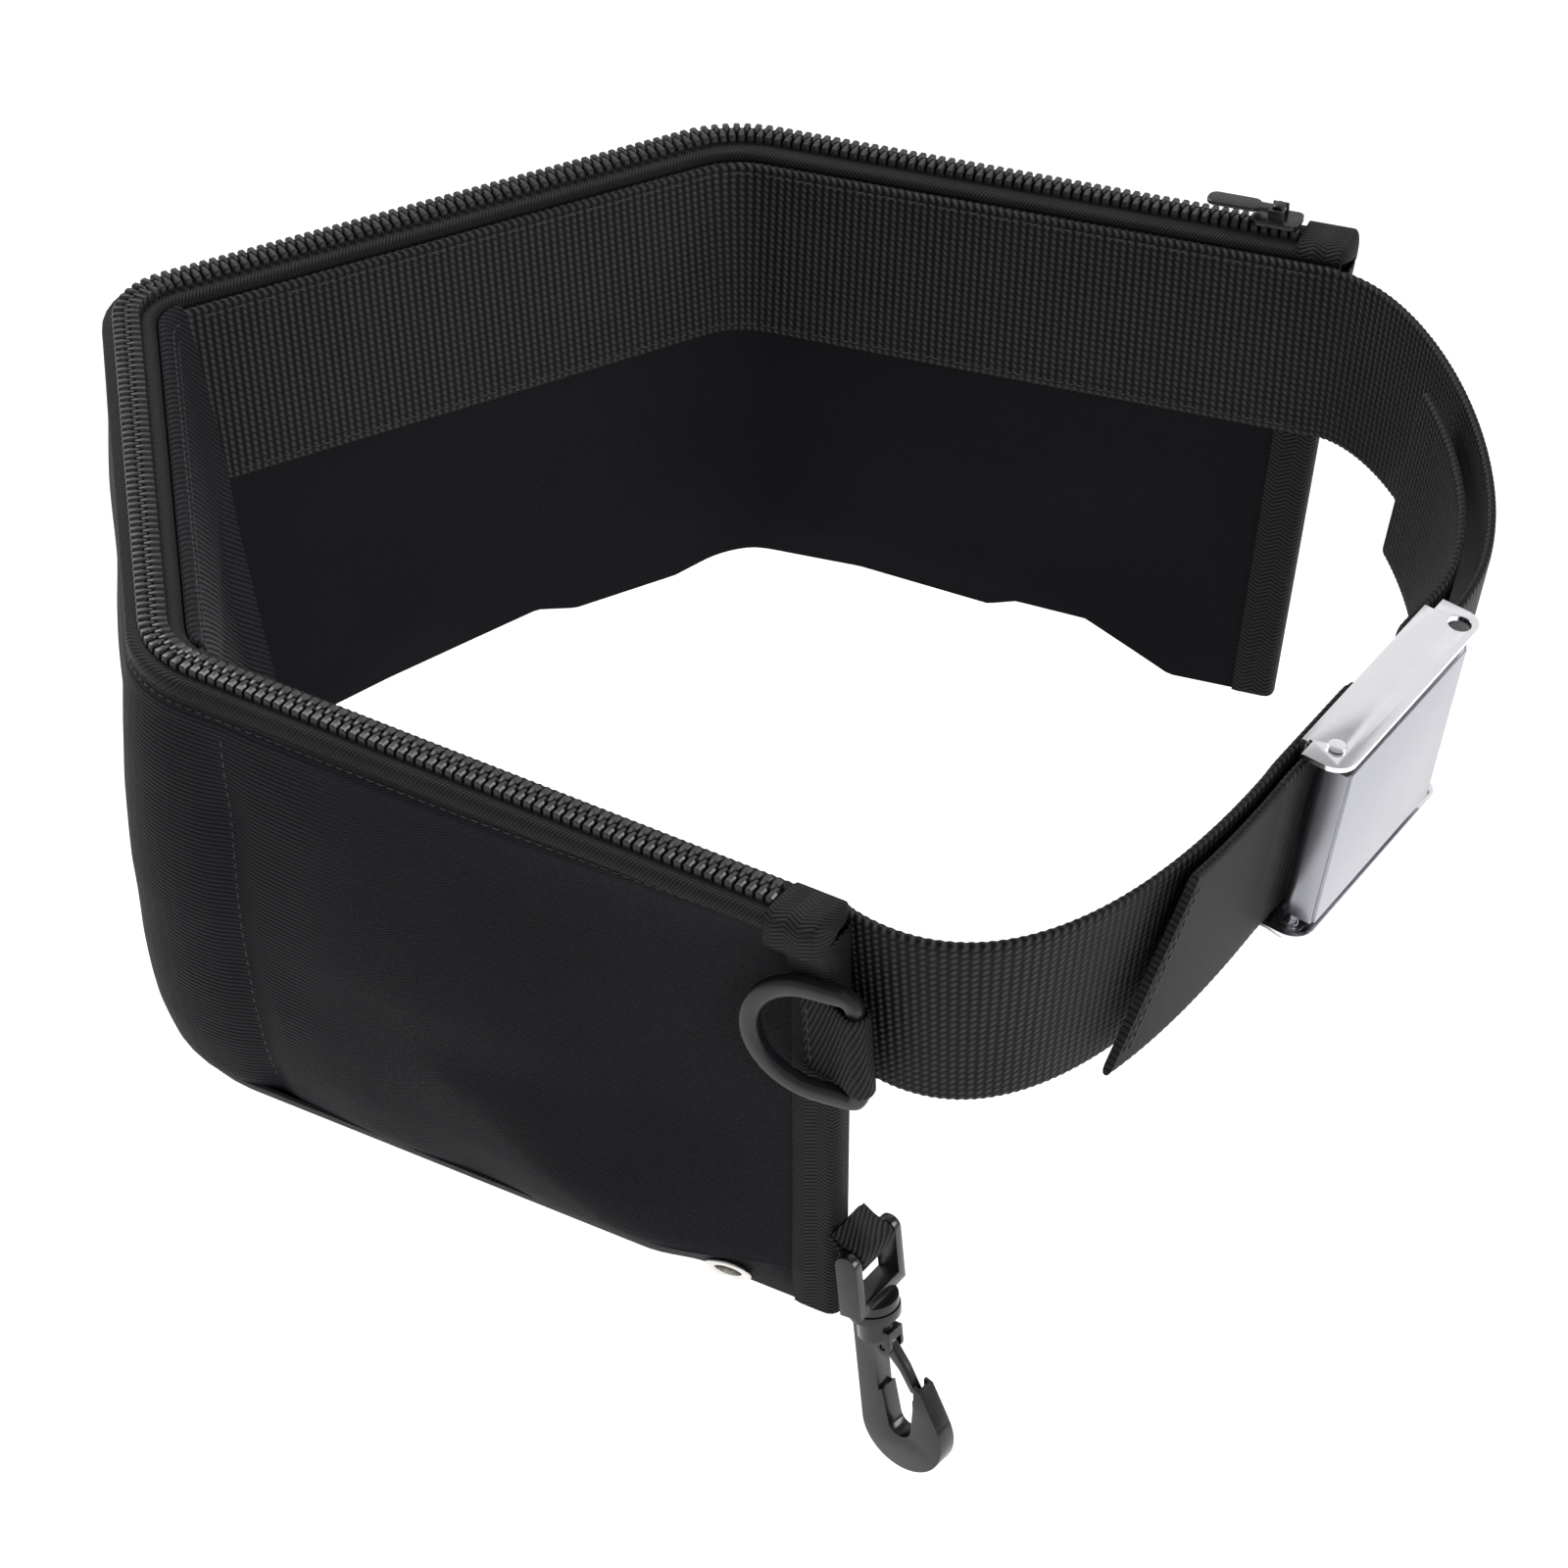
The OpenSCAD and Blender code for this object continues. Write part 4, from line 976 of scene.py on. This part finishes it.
web_finish = Finish("coarse_webbing", (0.014, 0.014, 0.014), 0.55, specular_ior_level=0.14)
lay, s_place, z_place = web_finish.place()
columns = web_finish.wave(s_place * turns(2.2 * mm))
stagger = web_finish.node("ShaderNodeMath", {"operation": "FLOOR"}, {0: s_place / (2.2 * mm) + 0.25})
dots = web_finish.wave(z_place * turns(1.85 * mm) + stagger * math.pi + s_place * turns(4.4 * mm))
knots = (columns * 0.5 + 0.5) * (dots * 0.5 + 0.5)
coarse = columns * 0.12 + knots * 1.3
fine = web_finish.wave(s_place * turns(1.3 * mm) + z_place * turns(1.3 * mm)) * web_finish.wave(
    s_place * turns(1.3 * mm) - z_place * turns(1.3 * mm))
on_tail = s_place > tail_from + 4 * mm
weave = coarse * (1.0 - on_tail) + fine * on_tail * 0.7
worn = web_finish.grain(lay, 45.0, 3.0)
web_finish.tint(weave * 0.8 + on_tail * 0.28 + worn * 0.15, (0.0015, 0.0015, 0.0017), (0.036, 0.036, 0.037))
web_finish.relief(weave, 0.32 * mm, 1.0)
web_finish.onto(webbing)

# ---- D-ring and its tape -------------------------------------------------------------
# A flat moulded D-ring hangs on a folded tape that is sewn over the near binding. It swings
# on the tape.

ring_lean = 6.5
ring_turn = Matrix.Rotation(math.radians(headings[0]), 4, "Z")
ring_frame = ring_turn @ Matrix.Rotation(math.radians(-ring_lean), 4, "X")
ring_place = pouch(0, 0.72 * pouch_height, 8.4 * mm) - 9 * mm * np.array([*along(headings[0]), 0])


def folded_tape(name, node, frame_turn, place, centre_line, width, thickness, spread):
    """A tape of even width that follows a line. spread(x, y, z) places a point of its own frame."""
    line = np.array(centre_line)
    steps = np.concatenate([[0], np.cumsum(np.linalg.norm(np.diff(line, axis=0), axis=1))])
    even = np.linspace(0, steps[-1], int(steps[-1] / (0.6 * mm)) + 2)
    line = np.stack([np.interp(even, steps, line[:, i]) for i in (0, 1)], axis=1)
    for _ in range(2):
        line[1:-1] = (line[:-2] + 2 * line[1:-1] + line[2:]) / 4
    slope = np.gradient(line, axis=0)
    slope /= np.linalg.norm(slope, axis=1, keepdims=True)
    normal = np.stack([-slope[:, 1], slope[:, 0]], axis=1)
    shares = np.array([-1, -0.95, -0.8, -0.4, 0, 0.4, 0.8, 0.95, 1]) * width / 2
    thick = np.array([0.4, 0.9, 1, 1, 1, 1, 1, 0.9, 0.4]) * thickness / 2
    rings, lays = [], []
    for i, (middle, out) in enumerate(zip(line, normal)):
        ring = []
        for side in (1, -1):
            order = range(9) if side == 1 else reversed(range(9))
            for j in order:
                a, b = middle + out * side * thick[j]
                ring.append(frame_turn @ Vector(spread(a, b, shares[j])) + Vector(place))
        rings.append(ring)
        across = np.concatenate([shares, shares[::-1]])
        lays.append(np.stack([across + width / 2, np.full(18, even[i])], axis=1))
    made = loft(name, np.array(rings), lays, flat_angle=60)
    loop_finish.onto(made)
    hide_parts(node)
    return made


loop_finish = Finish("loop_tape", (0.018, 0.018, 0.018), 0.6, specular_ior_level=0.12)
lay, s_place, z_place = loop_finish.place()
slanted = loop_finish.wave(z_place * turns(1.35 * mm) + s_place * turns(3.0 * mm))
worn = loop_finish.grain(lay, 60.0, 3.0)
loop_finish.tint(slanted * 0.4 + worn * 0.3 + 0.25, (0.0025, 0.0025, 0.0025), (0.028, 0.028, 0.028))
loop_finish.relief(slanted, 0.18 * mm, 1.0)

around_bar = [(3.15 * mm * math.cos(math.radians(a)), 3.15 * mm * math.sin(math.radians(a)))
              for a in range(-80, -281, -12)]
ring_line = [(15 * mm, -1.75 * mm), (9 * mm, -1.8 * mm), (4.5 * mm, -2.3 * mm), *around_bar,
             (4.2 * mm, 1.2 * mm), (8 * mm, -0.2 * mm), (15 * mm, -0.45 * mm)]
folded_tape("ring_tape", "d_ring_loop", ring_frame, ring_place, ring_line, 25 * mm, 1.2 * mm,
            lambda a, b, v: (a, b, v))

ring_finish = Finish("satin_nylon", (0.030, 0.030, 0.033), 0.36, specular_ior_level=0.4)
where = ring_finish.node("ShaderNodeTexCoord", {}, {}, "Object")
ring_finish.join(ring_finish.grain(where, 420.0, 3.0) * 0.16 + 0.28, ring_finish.shader.inputs["Roughness"])
ring_finish.tint(ring_finish.grain(where, 130.0, 2.0), (0.006, 0.006, 0.007), (0.013, 0.013, 0.0145))
ring_finish.relief(ring_finish.grain(where, 1500.0, 2.0), 0.03 * mm, 0.6)

# The ring's middle line runs up the bar, round two tight corners and along the bow.
ring_open = math.radians(8)
bow_middle, bow_radius, corner_radius = 11 * mm, 16.5 * mm, 3.2 * mm
ring_line = [(0, z) for z in np.linspace(-bow_radius + corner_radius, bow_radius - corner_radius, 24)]
ring_line += [(corner_radius * (1 - math.cos(a)), bow_radius - corner_radius + corner_radius * math.sin(a))
              for a in np.linspace(0, math.pi / 2, 9)[1:]]
ring_line += [(x, bow_radius) for x in np.linspace(corner_radius, bow_middle, 8)[1:-1]]
ring_line += [(bow_middle + bow_radius * math.cos(a), bow_radius * math.sin(a))
              for a in np.linspace(math.pi / 2, -math.pi / 2, 61)]
ring_line += [(x, -bow_radius) for x in np.linspace(bow_middle, corner_radius, 8)[1:-1]]
ring_line += [(corner_radius * (1 - math.cos(a)), -bow_radius + corner_radius - corner_radius * math.sin(a))
              for a in np.linspace(math.pi / 2, 0, 9)[:-1]]
ring_line = np.array(ring_line)
ring_points, ring_faces, section = [], [], 20
for i, (x, z) in enumerate(ring_line):
    ahead = ring_line[(i + 1) % len(ring_line)] - ring_line[i - 1]
    ahead /= np.linalg.norm(ahead)
    band = 2.15 + 0.35 * smooth(x / (7 * mm))
    for j in range(section):
        a = 2 * math.pi * j / section
        square = (abs(math.cos(a)) ** 3.2 + abs(math.sin(a)) ** 3.2) ** (-1 / 3.2)
        reach, thick = band * mm * math.cos(a) * square, 2.15 * mm * math.sin(a) * square
        px, pz = x + ahead[1] * reach, z - ahead[0] * reach
        turned = (px * math.cos(ring_open) - thick * math.sin(ring_open),
                  px * math.sin(ring_open) + thick * math.cos(ring_open), pz)
        ring_points.append(ring_frame @ Vector(turned) + Vector(ring_place))
        k = (i + 1) % len(ring_line)
        ring_faces.append((i * section + j, i * section + (j + 1) % section, k * section + (j + 1) % section,
                           k * section + j))
d_ring = new_piece("moulded_d_ring", ring_points, ring_faces, body="ring", flat_angle=60)
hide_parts("d_ring")
ring_finish.onto(d_ring)

# ---- Snap hook -----------------------------------------------------------------------
# A narrow tape at the bottom corner holds the swivel eye. The hook turns under the eye and
# its sprung gate closes against the nose.

hook_place = pouch(0, 0.19 * pouch_height, 1.5 * mm) - 8.5 * mm * np.array([*along(headings[0]), 0])
hook_frame = Matrix.Rotation(math.radians(headings[0] + 90), 4, "Z")
rise = np.array([math.cos(math.radians(140)), math.sin(math.radians(140))])
side_step = np.array([-rise[1], rise[0]])
around_eye = [(2.95 * mm * math.cos(math.radians(a)), 2.95 * mm * math.sin(math.radians(a)))
              for a in range(140 + 75, 140 + 286, 12)]
hook_line = [rise * 8.2 * mm + side_step * 0.7 * mm, rise * 4.4 * mm + side_step * 1.2 * mm, *around_eye,
             rise * 4.4 * mm - side_step * 1.2 * mm, rise * 8.2 * mm - side_step * 0.7 * mm]
folded_tape("hook_tape", "clip_loop", hook_frame, hook_place, hook_line, 14 * mm, 1.1 * mm,
            lambda a, b, v: (v, a, b))

hook_finish = Finish("glossy_acetal", (0.009, 0.009, 0.010), 0.2, specular_ior_level=0.45)
where = hook_finish.node("ShaderNodeTexCoord", {}, {}, "Object")
hook_finish.join(hook_finish.grain(where, 300.0, 3.0) * 0.16 + 0.13, hook_finish.shader.inputs["Roughness"])
hook_finish.tint(hook_finish.grain(where, 110.0, 2.0), (0.003, 0.003, 0.0035), (0.009, 0.009, 0.010))
for name, node, body, width in (("hook_eye", "swivel_eye", "eye", 0.7 * mm),
                                ("hook_frame", "hook_body", "hook", 0.8 * mm),
                                ("hook_latch", "hook_gate", "gate", 0.45 * mm)):
    moulding = rounded_copy(name, node, body, width)
    hook_finish.onto(moulding)

# ---- Buckle --------------------------------------------------------------------------
# The base is pressed from polished stainless sheet with a flange along each side. The lever
# turns on a pin between the flanges and clamps the free end of the webbing.

def stainless(name, dark, light, dull):
    made = Finish(name, light, dull, metallic=1.0)
    where = made.node("ShaderNodeTexCoord", {}, {}, "Object")
    long_grain = made.node("ShaderNodeMapping", {}, {"Vector": where, "Scale": (1.0, 1.0, 12.0)})
    brush = made.grain(long_grain, 420.0, 3.0)
    made.join(brush * 0.12 + dull - 0.06, made.shader.inputs["Roughness"])
    made.tint(made.grain(where, 55.0, 3.0), dark, light)
    made.relief(brush, 0.008 * mm, 0.3)
    return made


bright_steel = stainless("polished_stainless", (0.72, 0.72, 0.75), (0.86, 0.86, 0.89), 0.16)
# The lever is the same stainless as the base, but its colour is set far darker. That darker colour is painted
# shade, which makes the lever look darker than the flanges.
shaded_lever_steel = stainless("satin_stainless_painted_shade", (0.34, 0.34, 0.375), (0.40, 0.40, 0.44), 0.3)
for name, node, body, width, finish in (("pressed_base", "buckle_base", "belt", 0.45 * mm, bright_steel),
                                        ("pressed_lever", "buckle_lever", "lever", 0.45 * mm, shaded_lever_steel),
                                        ("steel_pin", "lever_pin", "belt", 0.25 * mm, bright_steel)):
    pressing = rounded_copy(name, node, body, width)
    finish.onto(pressing)

# ---- Thread --------------------------------------------------------------------------
# Every seam is sewn with a heavy twisted thread. Each stitch is a short bead that sinks
# into the cloth at both ends.

stitch_pitch = 3.0 * mm


def sewn_row(name, line, normals, radius=0.24 * mm, length=2.1 * mm):
    """Stitches along a line of points, each with the outward direction of the cloth under it."""
    line, normals = np.asarray(line), np.asarray(normals)
    steps = np.concatenate([[0], np.cumsum(np.linalg.norm(np.diff(line, axis=0), axis=1))])
    points, faces = [], []
    shares = [(-0.5, 0.35), (-0.42, 0.8), (-0.2, 1.0), (0.2, 1.0), (0.42, 0.8), (0.5, 0.35)]
    for place in np.arange(stitch_pitch, steps[-1] - stitch_pitch / 2, stitch_pitch):
        middle, up, ahead = (np.array([np.interp(place + shift, steps, values[:, i]) for i in range(3)])
                             for values, shift in ((line, 0), (normals, 0), (line, 0.4 * mm)))
        ahead = ahead - middle
        ahead /= np.linalg.norm(ahead)
        up = up - ahead * (up @ ahead)
        up /= np.linalg.norm(up)
        side = np.cross(ahead, up)
        first = len(points)
        for along_share, wide in shares:
            sunk = -radius * 0.7 * (2 * along_share) ** 2
            for a in range(6):
                angle = a * math.pi / 3
                points.append(middle + ahead * along_share * length
                              + up * (sunk + wide * radius * math.sin(angle))
                              + side * wide * radius * math.cos(angle))
        for k in range(len(shares) - 1):
            for a in range(6):
                b = (a + 1) % 6
                ring = first + k * 6
                faces.append((ring + a, ring + b, ring + 6 + b, ring + 6 + a))
        faces.append(tuple(first + a for a in range(6)))
        faces.append(tuple(first + 6 * len(shares) - 1 - a for a in range(6)))
    made = new_piece(name, points, faces, flat_angle=80)
    thread_finish.onto(made)
    return made


def cloth_row(name, runs, heights, widths, side=1):
    """A row of stitches on a cloth of the pouch, from runs, heights and distances out."""
    line = pouch(np.asarray(runs), np.asarray(heights), np.asarray(widths))
    further = pouch(np.asarray(runs), np.asarray(heights), np.asarray(widths) + side * mm)
    return sewn_row(name, line, further - line)


thread_finish = Finish("twisted_thread", (0.022, 0.022, 0.023), 0.5, sheen_weight=0.04, sheen_roughness=0.4,
                       specular_ior_level=0.25)
where = thread_finish.node("ShaderNodeTexCoord", {}, {}, "Object")
thread_finish.tint(thread_finish.grain(where, 800.0, 2.0), (0.014, 0.014, 0.015), (0.044, 0.044, 0.046))

long_runs = np.linspace(13 * mm, pouch_run - 13 * mm, 700)
seam_widths = [shell_width(s, 129.2 * mm) + 0.1 * mm for s in long_runs]
cloth_row("seam_under_tape", long_runs, np.full(700, 129.2 * mm), seam_widths)
facing_runs = np.linspace(facing_start + 3 * mm, facing_stop - 3 * mm, 120)
for number, height in ((1, 131.2 * mm), (2, 127.8 * mm)):
    widths = []
    for s in facing_runs:
        outline = facing_outline(s)
        widths.append(np.interp(height, outline[:, 1], outline[:, 0]) - 0.08 * mm)
    cloth_row(f"facing_seam_{number}", facing_runs, np.full(120, height), widths, -1)
for number, height in ((1, web_height + 22.6 * mm), (2, web_height - 22.6 * mm)):
    edge_runs = np.linspace(3 * mm, facing_start - 4 * mm, 200)
    cloth_row(f"webbing_seam_{number}", edge_runs, np.full(200, height), np.full(200, -3.26 * mm), -1)
    edge_runs = np.linspace(facing_stop + 4 * mm, pouch_run - 3 * mm, 300)
    cloth_row(f"webbing_seam_{number + 2}", edge_runs, np.full(300, height), np.full(300, -3.26 * mm), -1)
channel_heights = np.linspace(16 * mm, 127 * mm, 160)
for number, place in enumerate(channels, 1):
    lift = hem_lift(place) * (1 - smooth((channel_heights - 12 * mm) / (40 * mm)))
    widths = shell_width(place, channel_heights + lift) + 0.08 * mm
    cloth_row(f"channel_seam_{number}", np.full(160, place), channel_heights + lift, widths)
binding_heights = np.linspace(4 * mm, 124 * mm, 160)
for name, far_end in (("near", False), ("far", True)):
    for number, reach in ((1, 9.2 * mm), (2, 2.6 * mm)):
        place = pouch_run - reach if far_end else reach
        widths = []
        for z in binding_heights:
            wide = shell_width(place, max(z, 13 * mm))
            if z < 13 * mm:
                wide = end_thickness + (wide - end_thickness) * z / (13 * mm)
            widths.append(wide + (0.86 if reach > 8 * mm else 1.04) * mm)
        cloth_row(f"binding_seam_{name}_{number}", np.full(160, place), binding_heights, widths)
    place = pouch_run - 9.2 * mm if far_end else 9.2 * mm
    cloth_row(f"binding_back_{name}", np.full(90, place), binding_heights[:90] * 0.9,
              np.full(90, -0.68 * mm), -1)

for number, t in ((1, 0.93), (2, 0.965)):
    middle, out, up = tail_frame(t)
    spread = np.linspace(-0.44, 0.44, 40) * web_width
    line = middle + np.outer(spread, up) + out * (web_thickness / 2 + 0.08 * mm)
    sewn_row(f"tip_seam_{number}", line, np.tile(out, (40, 1)))
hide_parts("tail_stitching")
for name, x in (("a", 6.0 * mm), ("b", 13.6 * mm)):
    spread = np.linspace(-11 * mm, 11 * mm, 40)
    over_tape = (0.42 if name == "a" else 0.2) * mm
    line = [ring_frame @ Vector((x, over_tape, v)) + Vector(ring_place) for v in spread]
    out = ring_frame @ Vector((0, 1, 0))
    sewn_row(f"ring_tape_seam_{name}", line, np.tile(out, (40, 1)))
